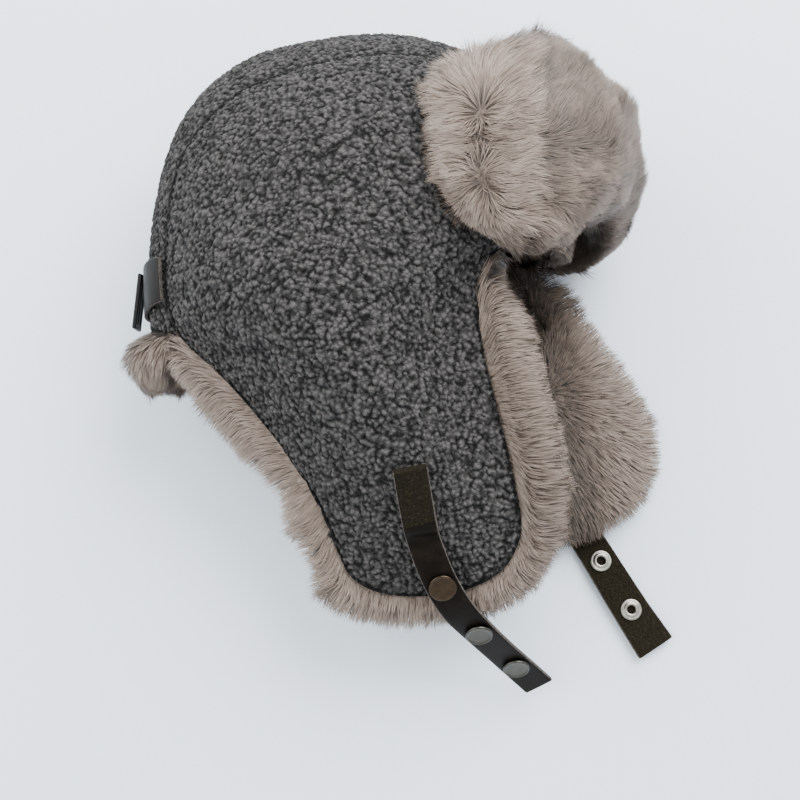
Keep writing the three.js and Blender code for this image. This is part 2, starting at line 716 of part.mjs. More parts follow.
// Locks in rings round the front flap, combed to its two long edges, each from a root sunk in the
// backing to a tip that stands just off it
function frontFlapLocks() {
  const rings = 7;
  const perRing = 7;
  const locks = [];
  for (let i = 0; i < rings; i += 1) {
    const t = 0.08 + (0.84 * i) / (rings - 1);
    for (let j = 0; j < perRing; j += 1) {
      const angle = (2 * Math.PI * (j + 0.25 + 0.5 * (i % 2))) / perRing;
      if (Math.sin(angle) < -0.55) continue;
      const end = angle + (Math.cos(angle) >= 0 ? -LOCK_TURN : LOCK_TURN);
      const face = frontFlapNormal(t, angle);
      const root = frontFlapPoint(t, angle).addScaledVector(face, -LOCK_ROOT);
      const tip = frontFlapPoint(t, end).addScaledVector(frontFlapNormal(t, end), LOCK_LIFT);
      const run = tip.sub(root);
      locks.push(lockGeometry(root, run, face, run.length(), 26, 11));
    }
  }
  return locks;
}
addPiece(
  "front_flap",
  cutClear(fuse([frontFlapGeometry(), ...frontFlapLocks()]), clearances),
  TAUPE,
  1,
);

// Surface parameters under a point given by x and y, by a few Newton steps
function parametersAt(surface, x, y) {
  let s = 0.5;
  let t = 0.7;
  const step = 0.001;
  for (let pass = 0; pass < 12; pass += 1) {
    const here = surface(s, t);
    const ds = surface(s + step, t).sub(here).divideScalar(step);
    const dt = surface(s, t + step).sub(here).divideScalar(step);
    const [ex, ey] = [x - here.x, y - here.y];
    const area = ds.x * dt.y - ds.y * dt.x;
    s += (ex * dt.y - ey * dt.x) / area;
    t += (ds.x * ey - ds.y * ex) / area;
    s = Math.min(Math.max(s, 0.02), 0.98);
    t = Math.min(Math.max(t, 0.02), 0.98);
  }
  return { s, t };
}

// Flat strap through stations that give its middle, across direction, width and thickness
function strapGeometry(stations) {
  return loftGeometry(stations.map((station, index) => {
    const before = stations[Math.max(index - 1, 0)].middle;
    const after = stations[Math.min(index + 1, stations.length - 1)].middle;
    const ahead = after.clone().sub(before).normalize();
    const across = station.across.clone();
    across.addScaledVector(ahead, -across.dot(ahead)).normalize();
    const face = new THREE.Vector3().crossVectors(across, ahead).normalize();
    if (face.z < 0) face.negate();
    station.face = face;
    const corner = (a, b) => station.middle.clone()
      .addScaledVector(across, (a * station.width) / 2)
      .addScaledVector(face, (b * station.thickness) / 2);
    return [corner(1, 1), corner(-1, 1), corner(-1, -1), corner(1, -1)];
  }));
}

// Station of a smooth strap at share t of its length, with the width and face of its rows
function smoothStations(rows, count) {
  const curve = curveOf(rows.map((row) => row.middle));
  const stations = [];
  for (let i = 0; i <= count; i += 1) {
    const t = i / count;
    const across = new THREE.Vector3(
      along(rows.map((row) => row.across.x), t),
      along(rows.map((row) => row.across.y), t),
      along(rows.map((row) => row.across.z), t),
    );
    stations.push({
      middle: curve.getPoint(t),
      across,
      width: along(rows.map((row) => row.width), t),
      thickness: along(rows.map((row) => row.thickness), t),
    });
  }
  return stations;
}

// Right strap: sewn square on the sherpa, then free over the fur and down to the surface
const rightStrapRows = rightStrapSewn.map(({ x, y, layers }) => {
  const { s, t } = parametersAt(rightSurface, x, y);
  const out = rightNormal(s, t);
  const thickness = LEATHER * layers;
  const middle = rightSurface(s, t).addScaledVector(out, STRAP_CLEARANCE + thickness / 2);
  const across = new THREE.Vector3(0.97, 0.24, 0);
  across.addScaledVector(out, -across.dot(out)).normalize();
  return { middle, across, width: RIGHT_STRAP_WIDTH, thickness };
});
for (const { x, y, z, acrossX, acrossY, acrossZ } of rightStrapFall) {
  rightStrapRows.push({
    middle: new THREE.Vector3(x, y, z),
    across: new THREE.Vector3(acrossX, acrossY, acrossZ).normalize(),
    width: RIGHT_STRAP_WIDTH,
    thickness: LEATHER,
  });
}
const rightStrapStations = smoothStations(rightStrapRows, 26);
addPiece("right_strap", strapGeometry(rightStrapStations), LEATHER_BLACK, 0.55);

// Left strap: flat on the surface with its inner side up
const leftStrapRows = leftStrapRun.map(({ x, y, z, width }) => ({
  middle: new THREE.Vector3(x, y, z),
  across: new THREE.Vector3(0.86, 0.5, 0),
  width,
  thickness: LEATHER,
}));
const leftStrapStations = smoothStations(leftStrapRows, 12);
addPiece("left_strap", strapGeometry(leftStrapStations), LEATHER_BLACK, 0.85);

// Point and face of a strap nearest to a place in plan
function strapFrameAt(stations, x, y) {
  const distance = ({ middle: m }) => Math.hypot(m.x - x, m.y - y);
  const sorted = [...stations].sort((a, b) => distance(a) - distance(b));
  const [near, next] = sorted;
  const share = distance(near) / (distance(near) + distance(next));
  const middle = near.middle.clone().lerp(next.middle, share);
  const face = near.face.clone().lerp(next.face, share).normalize();
  return { middle, face };
}

function latheFrom(rows, segments) {
  const profile = rows.map(([radius, height]) => new THREE.Vector2(radius, height));
  const geometry = new THREE.LatheGeometry(profile, segments);
  geometry.deleteAttribute("normal");
  geometry.deleteAttribute("uv");
  geometry.rotateX(Math.PI / 2);
  return mergeVertices(geometry, 1e-5);
}

// Domed cap of a snap with a rolled rim, on its back at height 0
function snapCapGeometry() {
  const radius = SNAP_DIAMETER / 2;
  return latheFrom([
    [0, 0],
    [radius * 0.86, 0],
    [radius, SNAP_HEIGHT * 0.3],
    [radius * 0.95, SNAP_HEIGHT * 0.66],
    [radius * 0.8, SNAP_HEIGHT * 0.8],
    [radius * 0.4, SNAP_HEIGHT * 0.96],
    [0, SNAP_HEIGHT],
  ], SNAP_SIDES);
}

// Inner half of a snap: a ring round a hole for the stud
function snapSocketGeometry() {
  const outer = SOCKET_DIAMETER / 2;
  const inner = SOCKET_HOLE / 2;
  return latheFrom([
    [inner, 0],
    [outer, 0],
    [outer, SOCKET_HEIGHT * 0.45],
    [outer * 0.85, SOCKET_HEIGHT * 0.8],
    [inner * 1.5, SOCKET_HEIGHT],
    [inner, SOCKET_HEIGHT * 0.8],
    [inner, 0],
  ], SNAP_SIDES);
}

// Sets a piece that is modelled standing on height 0 onto one face of a strap
function seatOnStrap(mesh, frame, side) {
  const out = frame.face.clone().multiplyScalar(side);
  mesh.quaternion.setFromUnitVectors(new THREE.Vector3(0, 0, 1), out);
  mesh.position.copy(frame.middle).addScaledVector(out, LEATHER / 2 + GAP);
}

const rightSnaps = [
  { x: 22.5, y: -116.5, color: BRONZE },
  { x: 43, y: -140, color: GUNMETAL },
  { x: 65.5, y: -158, color: GUNMETAL },
];
rightSnaps.forEach(({ x, y, color }, index) => {
  const frame = strapFrameAt(rightStrapStations, x, y);
  seatOnStrap(addPiece(`right_snap_cap_${index + 1}`, snapCapGeometry(), color, 0.35, 1), frame, 1);
});

const leftSnaps = [
  { x: 119, y: -98.5 },
  { x: 135.5, y: -127 },
];
leftSnaps.forEach(({ x, y }, index) => {
  const frame = strapFrameAt(leftStrapStations, x, y);
  seatOnStrap(addPiece(`left_snap_socket_${index + 1}`, snapSocketGeometry(), SILVER, 0.35, 1), frame, 1);
  seatOnStrap(addPiece(`left_snap_cap_${index + 1}`, snapCapGeometry(), GUNMETAL, 0.35, 1), frame, -1);
});

// Rear strap: a leather band over the centre panel, between the two seams, dipping at the back.
// Its edges and dip are in steps along the seam, so share is 0 at its upper edge and 1 at its lower
const BACK_STRAP_TOP = SEAM_STEPS - 3.0;
const BACK_STRAP_BOTTOM = SEAM_STEPS - 1.4;
const BACK_STRAP_DIP = 0.85;
function backStrapPoint(share, v, height) {
  const across = BACK_STRAP_TOP + (BACK_STRAP_BOTTOM - BACK_STRAP_TOP) * share
    + BACK_STRAP_DIP * Math.sin(Math.PI * v);
  const low = Math.floor(across);
  const part = across - low;
  const normal = archNormal(low, v).lerp(archNormal(low + 1, v), part).normalize();
  return archPoint(low, v).lerp(archPoint(low + 1, v), part).addScaledVector(normal, height);
}
const backStrapGrid = (height) => gridOf(0, 12, 2, (i, j) => {
  const v = 0.015 + (0.97 * i) / 12;
  return backStrapPoint(j / 2, v, height);
});
addPiece(
  "back_strap",
  wallGeometry(backStrapGrid(STRAP_CLEARANCE + LEATHER), backStrapGrid(STRAP_CLEARANCE)),
  LEATHER_BLACK,
  0.55,
);

function boxGeometry(width, tall, depth, x) {
  const geometry = new THREE.BoxGeometry(width, tall, depth);
  geometry.translate(x, 0, 0);
  geometry.deleteAttribute("normal");
  geometry.deleteAttribute("uv");
  return mergeVertices(geometry, 1e-5);
}

// Slider on the rear strap: a frame with a middle bar and a slot on each side of it
function sliderGeometry() {
  const tall = BACK_STRAP_WIDTH + 2 * SLIDER_BAR + 2;
  const thickness = SLIDER_BAR * 0.8;
  const slotWidth = (SLIDER_WIDTH - 3 * SLIDER_BAR) / 2;
  const slotCentre = (slotWidth + SLIDER_BAR) / 2;
  let solid = solidOf(boxGeometry(SLIDER_WIDTH, tall, thickness, 0));
  for (const side of [-1, 1]) {
    const slot = boxGeometry(slotWidth, tall - 2 * SLIDER_BAR, 2 * thickness, side * slotCentre);
    solid = solid.subtract(solidOf(slot));
  }
  return geometryOf(solid);
}

const SLIDER_PLACE = 0.56;
const sliderHeight = STRAP_CLEARANCE + LEATHER + SLIDER_STAND_OFF;
const sliderCentre = backStrapPoint(0.5, SLIDER_PLACE, sliderHeight);
const sliderDown = backStrapPoint(1, SLIDER_PLACE, 0)
  .sub(backStrapPoint(0, SLIDER_PLACE, 0))
  .normalize();
const sliderAlong = backStrapPoint(0.5, SLIDER_PLACE + 0.05, 0)
  .sub(backStrapPoint(0.5, SLIDER_PLACE - 0.05, 0));
sliderAlong.addScaledVector(sliderDown, -sliderAlong.dot(sliderDown)).normalize();
const sliderFace = new THREE.Vector3().crossVectors(sliderDown, sliderAlong).normalize();
const sliderTip = THREE.MathUtils.degToRad(SLIDER_TIP);
sliderDown.applyAxisAngle(sliderAlong, sliderTip);
sliderFace.applyAxisAngle(sliderAlong, sliderTip);
const slider = addPiece("back_slider", sliderGeometry(), SLIDER_BLACK, 0.4);
const sliderTurn = new THREE.Matrix4().makeBasis(
  new THREE.Vector3().crossVectors(sliderDown, sliderFace),
  sliderDown,
  sliderFace,
);
slider.quaternion.setFromRotationMatrix(sliderTurn);
slider.position.copy(sliderCentre).addScaledVector(sliderDown, SLIDER_DROP);

// Stand the group on the surface with its middle over the origin
const bounds = new THREE.Box3().setFromObject(group, true);
const middle = bounds.getCenter(new THREE.Vector3());
group.position.set(-middle.x, -middle.y, -bounds.min.z);

export default group;
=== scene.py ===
"""Trapper hat with ear flaps, lying on its left side, with curly sherpa outside and long fur inside."""
import math

import bmesh
import bpy
import numpy as np
from mathutils import Matrix, Vector, kdtree, noise
from mathutils.bvhtree import BVHTree


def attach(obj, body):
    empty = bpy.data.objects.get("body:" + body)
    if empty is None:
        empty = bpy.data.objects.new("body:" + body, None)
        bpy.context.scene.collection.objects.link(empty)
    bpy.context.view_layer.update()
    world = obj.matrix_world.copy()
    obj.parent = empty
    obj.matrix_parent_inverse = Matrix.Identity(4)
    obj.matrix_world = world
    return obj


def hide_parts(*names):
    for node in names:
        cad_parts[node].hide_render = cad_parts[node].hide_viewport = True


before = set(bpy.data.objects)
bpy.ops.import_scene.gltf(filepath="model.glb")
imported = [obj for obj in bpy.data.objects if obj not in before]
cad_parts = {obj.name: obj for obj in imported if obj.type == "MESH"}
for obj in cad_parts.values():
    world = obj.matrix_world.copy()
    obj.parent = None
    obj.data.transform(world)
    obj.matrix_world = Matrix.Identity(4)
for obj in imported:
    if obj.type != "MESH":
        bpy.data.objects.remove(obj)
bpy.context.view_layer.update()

MM = 0.001

# The noise that turns the fur takes its start from the clock if it isn't seeded
NOISE_SEED = 5
noise.seed_set(NOISE_SEED)

# The camera stands where the photographer stood: almost straight above, at the hat's foot
VIEW_POINT = Vector((-1.1, -14.6, 0.0)) * MM
VIEW_ELEVATION = math.radians(78.0)
VIEW_DISTANCE = 710.0 * MM
VIEW_LENS = 52.0

# Sherpa: curls of pile, as they measure on the hat, the clusters they lie in and its seams
CURL_SIZE = 2.6 * MM
CLUSTER_SIZE = 5.8 * MM
CURL_HEIGHT = 1.8 * MM
SEAM_ROUNDING = 5.0 * MM
SEAM_DEPTH = 1.5 * MM
# Where faces of a panel meet at more than this angle, its outer side ends
WALL_TURN = math.radians(50)
# A place inside the hat, which the outer side of the centre panel faces away from
HOLLOW_MIDDLE = Vector((-25.0, 60.0, 55.0)) * MM

# Fur: a strand stands for a few hairs, because single hairs are too fine to show
STRAND_WIDTH = 0.36 * MM
BACKING_CELL = 3.0 * MM
BACKING_INSET = 2.6 * MM
# Strands that are drawn together, and the steps of tone that the tufts have
TUFT = 9
FUR_COLUMNS = 256
# A tuft's middle tone, how much it varies and how much painted shade darkens it deep in a hollow
TUFT_TONE = 0.62
TONE_SPREAD = 0.3
HOLLOW_PAINTED_SHADE = 0.8
# The rays that look for a hollow start this far over the fur, and reach this far
HOLLOW_START = 9.0 * MM
HOLLOW_REACH = 70.0 * MM

# Places in mm on the front flap's face: its two whorls, its parting and the hollows between them, where
# shade is painted on the fur
WHORLS = [(39.0, 101.0, 158.0), (37.5, 61.0, 157.0)]
PARTING = 62.0
PAINTED_SHADE_HOLLOWS = [(43.0, 83.0, 160.0), (37.0, 74.0, 159.0)]
# The box inside the brow where the panels have fur too: from and to in x, y and z, in mm
BROW_FUR = [(48.0, 96.0), (5.0, 76.0), (-1.0, 82.0)]
# The near flap's outer edge in plan, from its top to its foot, over the far flap, in mm
NEAR_FLAP_EDGE = [(76.0, 45.0), (98.0, -95.0)]
# Where the near flap's fur hangs wider at the back, in mm, which way, how far round and how much
BACK_BULGE = (-57.0, -86.0, 71.0)
BULGE_WAY = (-0.89, -0.455, 0.0)
BULGE_RADIUS = 37 * MM
BULGE_REACH = 11.0 * MM

# Straps: a strip of faces narrower than this is a cut edge
UP = Vector((0.0, 0.0, 1.0))
EDGE_WIDTH = 3.2 * MM
# Sewn square of the right strap: middle of its upper and lower end, and how far in it is stitched
SEWN_TOP = Vector((3.7, -72.1)) * MM
SEWN_BOTTOM = Vector((9.9, -100.6)) * MM
SEWN_HALF = 6.6 * MM
SEWN_MARGIN = 2.4 * MM
STITCH_STEP = 3.0 * MM
STITCH_RADIUS = 0.26 * MM

# Snaps: (radius, height) rows in mm, of a cap with its rolled rim and of a socket with its hole
CAP_PROFILE = [
    (0.0, 0.0), (6.5, 0.0), (7.2, 0.3), (7.5, 0.85), (7.5, 1.5), (7.35, 1.95), (7.05, 2.2), (6.7, 2.25),
    (6.45, 2.12), (6.3, 1.95), (5.2, 1.9), (3.0, 1.84), (0.0, 1.8),
]
SOCKET_PROFILE = [
    (2.4, 0.0), (6.3, 0.0), (6.3, 0.5), (6.0, 0.95), (5.4, 1.1), (5.0, 1.0), (4.6, 1.0), (4.2, 1.45),
    (3.6, 1.75), (3.0, 1.7), (2.5, 1.35), (2.4, 0.9), (2.4, 0.0),
]


def linear(hex_colour):
    """A colour written as sRGB hex, turned to the linear values that a shader reads."""
    values = []
    for place in (0, 2, 4):
        channel = int(hex_colour[place : place + 2], 16) / 255
        if channel <= 0.04045:
            values.append(channel / 12.92)
        else:
            values.append(((channel + 0.055) / 1.055) ** 2.4)
    return (*values, 1.0)


def add(tree, kind, settings=None, links=None):
    """Adds a node. settings are its properties and input values, links its inputs' sources."""
    node = tree.nodes.new(kind)
    for name, value in (settings or {}).items():
        if isinstance(name, str) and hasattr(node, name):
            setattr(node, name, value)
        else:
            node.inputs[name].default_value = value
    for name, source in (links or {}).items():
        tree.links.new(source, node.inputs[name])
    return node


def ramp(tree, factor, stops):
    """A colour ramp over factor, from pairs of place and sRGB hex colour."""
    node = add(tree, "ShaderNodeValToRGB", links={"Fac": factor})
    elements = node.color_ramp.elements
    while len(elements) > 1:
        elements.remove(elements[-1])
    elements[0].position = stops[0][0]
    elements[0].color = linear(stops[0][1])
    for place, colour in stops[1:]:
        elements.new(place).color = linear(colour)
    return node.outputs["Color"]


def new_material(name, settings):
    """A material with its Principled shader's uniform values set on the sockets themselves."""
    material = bpy.data.materials.new(name)
    material.use_nodes = True
    tree = material.node_tree
    shader = tree.nodes["Principled BSDF"]
    for socket, value in settings.items():
        shader.inputs[socket].default_value = value
    return material, tree, shader


def wander(tree, place, size, reach):
    """place moved about by a noise of that size, as far as reach."""
    turns = add(tree, "ShaderNodeTexNoise", {"Scale": 1.0 / size, "Detail": 1.0}, {"Vector": place})
    centred = add(
        tree,
        "ShaderNodeVectorMath",
        {"operation": "SUBTRACT", 1: (0.5, 0.5, 0.5)},
        {0: turns.outputs["Color"]},
    )
    shift = add(
        tree, "ShaderNodeVectorMath", {"operation": "SCALE", "Scale": reach}, {0: centred.outputs[0]}
    )
    moved = add(tree, "ShaderNodeVectorMath", {"operation": "ADD"}, {0: place, 1: shift.outputs[0]})
    return moved.outputs[0]


def curl_nodes(tree, place):
    """Height of the sherpa's curls over place, 0 in a crevice to 1, in a shader or a modifier."""
    bent = wander(tree, place, 1.1 * CURL_SIZE, 0.7 * CURL_SIZE)
    # Winding crevices part the clusters, where a noise crosses its middle value
    settings = {"Scale": 1.0 / CLUSTER_SIZE, "Detail": 1.5}
    turns = add(tree, "ShaderNodeTexNoise", settings, {"Vector": bent}).outputs["Fac"]
    far = add(tree, "ShaderNodeMath", {"operation": "MULTIPLY_ADD", 1: 4.0, 2: -2.0}, {0: turns})
    far = add(tree, "ShaderNodeMath", {"operation": "ABSOLUTE"}, {0: far.outputs[0]}).outputs[0]
    # and each curl in them is a round lump
    settings = {"feature": "SMOOTH_F1", "Scale": 1.0 / CURL_SIZE, "Smoothness": 0.16}
    lump = add(tree, "ShaderNodeTexVoronoi", settings, {"Vector": bent}).outputs["Distance"]
    parts = []
    for source, low, high, share in ((far, 0.0, 0.4, 0.35), (lump, 0.85, 0.1, 0.65)):
        settings = {
            "interpolation_type": "SMOOTHSTEP",
            "From Min": low,
            "From Max": high,
            "To Max": share,
        }
        parts.append(add(tree, "ShaderNodeMapRange", settings, {"Value": source}).outputs["Result"])
    return add(tree, "ShaderNodeMath", {"operation": "ADD"}, {0: parts[0], 1: parts[1]}).outputs[0]


def sherpa_material():
    """Polyester sherpa: matt curls, lighter on their crowns and nearly black between them as painted
    shade.
    """
    settings = {
        "Roughness": 0.95,
        "Sheen Weight": 0.03,
        "Sheen Roughness": 0.6,
        "IOR": 1.45,
        "Specular IOR Level": 0.15,
    }
    material, tree, shader = new_material("polyester_sherpa", settings)
    place = add(tree, "ShaderNodeAttribute", {"attribute_name": "curl_place"}).outputs["Vector"]
    height = curl_nodes(tree, place)
    # Fibres of about three quarters of a millimetre break up each curl
    fibres = add(
        tree, "ShaderNodeTexNoise", {"Scale": 1300.0, "Detail": 3.0, "Distortion": 1.2}, {"Vector": place}
    ).outputs["Fac"]
    # and patches of about a centimetre are paler or darker
    worn = add(tree, "ShaderNodeTexNoise", {"Scale": 90.0, "Detail": 3.0}, {"Vector": place})
    worn = worn.outputs["Fac"]
    tone = add(tree, "ShaderNodeMath", {"operation": "MULTIPLY_ADD", 1: 0.55, 2: -0.275}, {0: fibres})
    patch = add(tree, "ShaderNodeMath", {"operation": "MULTIPLY_ADD", 1: 0.4, 2: -0.2}, {0: worn})
    shade = add(tree, "ShaderNodeMath", {"operation": "ADD"}, {0: height, 1: tone.outputs[0]})
    shade = add(tree, "ShaderNodeMath", {"operation": "ADD"}, {0: shade.outputs[0], 1: patch.outputs[0]})
    # The pile is sewn flat in the seams, and painted shade darkens it there
    lift = add(tree, "ShaderNodeAttribute", {"attribute_name": "raise"}).outputs["Fac"]
    settings = {
        "From Min": 0.3 * CURL_HEIGHT,
        "From Max": 0.75 * CURL_HEIGHT,
        "To Min": -0.45,
        "To Max": 0.0,
    }
    seam = add(tree, "ShaderNodeMapRange", settings, {"Value": lift}).outputs["Result"]
    shade = add(tree, "ShaderNodeMath", {"operation": "ADD"}, {0: shade.outputs[0], 1: seam})
    # The curls' height paints shade into the colour: nearly black in the crevices, lighter on the crowns,
    # darker in the seams
    colour = ramp(
        tree,
        shade.outputs[0],
        [(0.0, "080808"), (0.3, "201f1f"), (0.6, "393837"), (1.0, "504e4d")],
    )
    tree.links.new(colour, shader.inputs["Base Color"])
    relief = add(tree, "ShaderNodeMath", {"operation": "MULTIPLY_ADD", 1: 0.3}, {0: fibres, 2: height})
    settings = {"Strength": 1.0, "Distance": 1.6 * MM}
    bump = add(tree, "ShaderNodeBump", settings, {"Height": relief.outputs[0]})
    tree.links.new(bump.outputs["Normal"], shader.inputs["Normal"])
    return material


def fur_material():
    """Faux fur of acrylic hair: dark at the root, taupe along the hair and pale at its tip.

    The UV map runs along the hair, and across it from dark tufts to pale ones, the dark end also carrying
    painted shade.
    """
    settings = {"Roughness": 0.62, "Sheen Weight": 0.2, "Sheen Roughness": 0.4, "IOR": 1.5}
    material, tree, shader = new_material("acrylic_faux_fur", settings)
    uv = add(tree, "ShaderNodeUVMap", {"uv_map": "OFBake"}).outputs["UV"]
    parts = add(tree, "ShaderNodeSeparateXYZ", links={"Vector": uv})
    settings = {"operation": "MULTIPLY_ADD", 1: 0.9, 2: -0.45}
    shift = add(tree, "ShaderNodeMath", settings, {0: parts.outputs["X"]})
    links = {0: parts.outputs["Y"], 1: shift.outputs[0]}
    along = add(tree, "ShaderNodeMath", {"operation": "ADD"}, links)
    colour = ramp(
        tree,
        along.outputs[0],
        [(0.0, "2f2720"), (0.3, "574a40"), (0.65, "76675b"), (1.0, "93857a")],
    )
    tree.links.new(colour, shader.inputs["Base Color"])
    return material


def backing_material():
    """The fur's own dense underhair: dark and matt, seen between the strands; inside the brow, painted
    shade.
    """
    settings = {"Roughness": 0.9, "Sheen Weight": 0.1}
    material, tree, shader = new_material("faux_fur_underhair_and_brow_shade", settings)
    place = add(tree, "ShaderNodeTexCoord").outputs["Object"]
    hair = add(tree, "ShaderNodeTexNoise", {"Scale": 700.0, "Detail": 2.0}, {"Vector": place})
    colour = ramp(tree, hair.outputs["Fac"], [(0.3, "3c322b"), (0.7, "6a5c52")])
    tree.links.new(colour, shader.inputs["Base Color"])
    return material


def leather_material():
    """Black coated split leather: a satin face with fine pebbled grain."""
    settings = {"IOR": 1.45, "Specular IOR Level": 0.15, "Specular Tint": linear("e2d0c2")}
    material, tree, shader = new_material("coated_black_leather", settings)
    place = add(tree, "ShaderNodeTexCoord").outputs["Object"]
    # Pebbles of about 0.7 mm
    grain = add(
        tree, "ShaderNodeTexVoronoi", {"Scale": 1400.0, "feature": "F1"}, {"Vector": place}
    ).outputs["Distance"]
    # Handling leaves duller and shinier patches of about 6 mm
    scuffs = add(tree, "ShaderNodeTexNoise", {"Scale": 160.0, "Detail": 4.0}, {"Vector": place})
    scuffs = scuffs.outputs["Fac"]
    colour = ramp(tree, scuffs, [(0.35, "040302"), (0.55, "080604"), (0.75, "120e0b")])
    tree.links.new(colour, shader.inputs["Base Color"])
    gloss = add(tree, "ShaderNodeMapRange", {"To Min": 0.38, "To Max": 0.62}, {"Value": scuffs})
    tree.links.new(gloss.outputs["Result"], shader.inputs["Roughness"])
    bump = add(tree, "ShaderNodeBump", {"Strength": 0.35, "Distance": 0.12 * MM}, {"Height": grain})
    tree.links.new(bump.outputs["Normal"], shader.inputs["Normal"])
    return material


def suede_material():
    """The split side of the same leather: napped, greyer and quite matt."""
    settings = {
        "IOR": 1.45,
        "Roughness": 0.92,
        "Specular IOR Level": 0.15,
        "Specular Tint": linear("e6cdb8"),
    }
    material, tree, shader = new_material("black_suede", settings)
    place = add(tree, "ShaderNodeTexCoord").outputs["Object"]
    nap = add(
        tree, "ShaderNodeTexNoise", {"Scale": 900.0, "Detail": 3.0, "Distortion": 0.6}, {"Vector": place}
    ).outputs["Fac"]
    colour = ramp(tree, nap, [(0.3, "0d0c08"), (0.6, "1c1a13"), (0.8, "312d22")])
    tree.links.new(colour, shader.inputs["Base Color"])
    bump = add(tree, "ShaderNodeBump", {"Strength": 0.5, "Distance": 0.2 * MM}, {"Height": nap})
    tree.links.new(bump.outputs["Normal"], shader.inputs["Normal"])
    return material


def raw_edge_material():
    """Cut leather edge: the paler fibres between the coated face and the split back."""
    settings = {"IOR": 1.45, "Roughness": 0.8}
    material, tree, shader = new_material("raw_leather_edge", settings)
    place = add(tree, "ShaderNodeTexCoord").outputs["Object"]
    fibre = add(tree, "ShaderNodeTexNoise", {"Scale": 700.0, "Detail": 3.0}, {"Vector": place})
    colour = ramp(tree, fibre.outputs["Fac"], [(0.35, "26221f"), (0.65, "4e4741")])
    tree.links.new(colour, shader.inputs["Base Color"])
    return material


def metal_material(name, dark, light, roughness):
    """Plated brass: satin, with dull and bright patches of about 4 mm from handling."""
    material, tree, shader = new_material(name, {"Metallic": 1.0})
    place = add(tree, "ShaderNodeTexCoord").outputs["Object"]
    wear = add(tree, "ShaderNodeTexNoise", {"Scale": 260.0, "Detail": 3.0}, {"Vector": place})
    wear = wear.outputs["Fac"]
    colour = ramp(tree, wear, [(0.35, dark), (0.7, light)])
    tree.links.new(colour, shader.inputs["Base Color"])
    gloss = add(
        tree,
        "ShaderNodeMapRange",
        {"To Min": roughness - 0.08, "To Max": roughness + 0.12},
        {"Value": wear},
    )
    tree.links.new(gloss.outputs["Result"], shader.inputs["Roughness"])
    return material


def thread_material():
    """Waxed polyester thread, dark brown on the black leather."""
    settings = {"Roughness": 0.7, "IOR": 1.5, "Specular IOR Level": 0.15}
    material, tree, shader = new_material("waxed_thread", settings)
    place = add(tree, "ShaderNodeTexCoord").outputs["Object"]
    ply = add(tree, "ShaderNodeTexNoise", {"Scale": 2500.0}, {"Vector": place}).outputs["Fac"]
    colour = ramp(tree, ply, [(0.35, "070504"), (0.65, "120e0b")])
    tree.links.new(colour, shader.inputs["Base Color"])
    return material


def slider_material():
    """Moulded black nylon with the soft gloss of the mould."""
    settings = {"Roughness": 0.45, "IOR": 1.45, "Specular IOR Level": 0.25}
    material, tree, shader = new_material("moulded_black_nylon", settings)
    place = add(tree, "ShaderNodeTexCoord").outputs["Object"]
    flow = add(tree, "ShaderNodeTexNoise", {"Scale": 500.0}, {"Vector": place}).outputs["Fac"]
    colour = ramp(tree, flow, [(0.3, "060607"), (0.7, "0d0d0e")])
    tree.links.new(colour, shader.inputs["Base Color"])
    return material


SHERPA = sherpa_material()
FUR = fur_material()
UNDERHAIR_AND_BROW_SHADE = backing_material()
LEATHER = leather_material()
SUEDE = suede_material()
RAW_EDGE = raw_edge_material()
THREAD = thread_material()
NYLON = slider_material()
GUNMETAL = metal_material("gunmetal_plate", "43423d", "4c4a44", 0.3)
BRONZE = metal_material("antique_bronze_plate", "382f26", "42372b", 0.22)
NICKEL = metal_material("nickel_plate", "7f7b74", "aaa59c", 0.3)


def merged_copy(node):
    """A bmesh of a CAD node's mesh with its loose triangles merged."""
    shape = bmesh.new()
    shape.from_mesh(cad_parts[node].data)
    bmesh.ops.remove_doubles(shape, verts=shape.verts, dist=0.002 * MM)
    return shape


def finished(shape, name, material):
    """The bmesh as an object in the scene, smooth shaded."""
    mesh = bpy.data.meshes.new(name)
    shape.to_mesh(mesh)
    shape.free()
    mesh.polygons.foreach_set("use_smooth", [True] * len(mesh.polygons))
    mesh.materials.append(material)
    piece = bpy.data.objects.new(name, mesh)
    bpy.context.scene.collection.objects.link(piece)
    return piece


def applied(piece):
    """Applies a piece's modifiers to its mesh."""
    graph = bpy.context.evaluated_depsgraph_get()
    mesh = bpy.data.meshes.new_from_object(piece.evaluated_get(graph))
    piece.modifiers.clear()
    piece.data = mesh


def settle(piece, slot, *nodes):
    """Lets a finished piece ride on the hat and stand for its CAD nodes, which it hides; slot is not
    used.
    """
    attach(piece, "root")
    if nodes:
        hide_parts(*nodes)
    return piece


def smooth_step(low, high, values):
    """0 below low and 1 above high, with an eased rise between them."""
    part = np.clip((values - low) / (high - low), 0.0, 1.0)
    return part * part * (3.0 - 2.0 * part)


def coordinates(mesh):
    """The places of a mesh's vertices, one row for each."""
    flat = np.zeros(len(mesh.vertices) * 3)
    mesh.vertices.foreach_get("co", flat)
    return flat.reshape(-1, 3)


def vertex_normals(mesh):
    """The smooth normals at a mesh's vertices, one row for each."""
    flat = np.zeros(len(mesh.vertices) * 3)
    mesh.vertices.foreach_get("normal", flat)
    return flat.reshape(-1, 3)


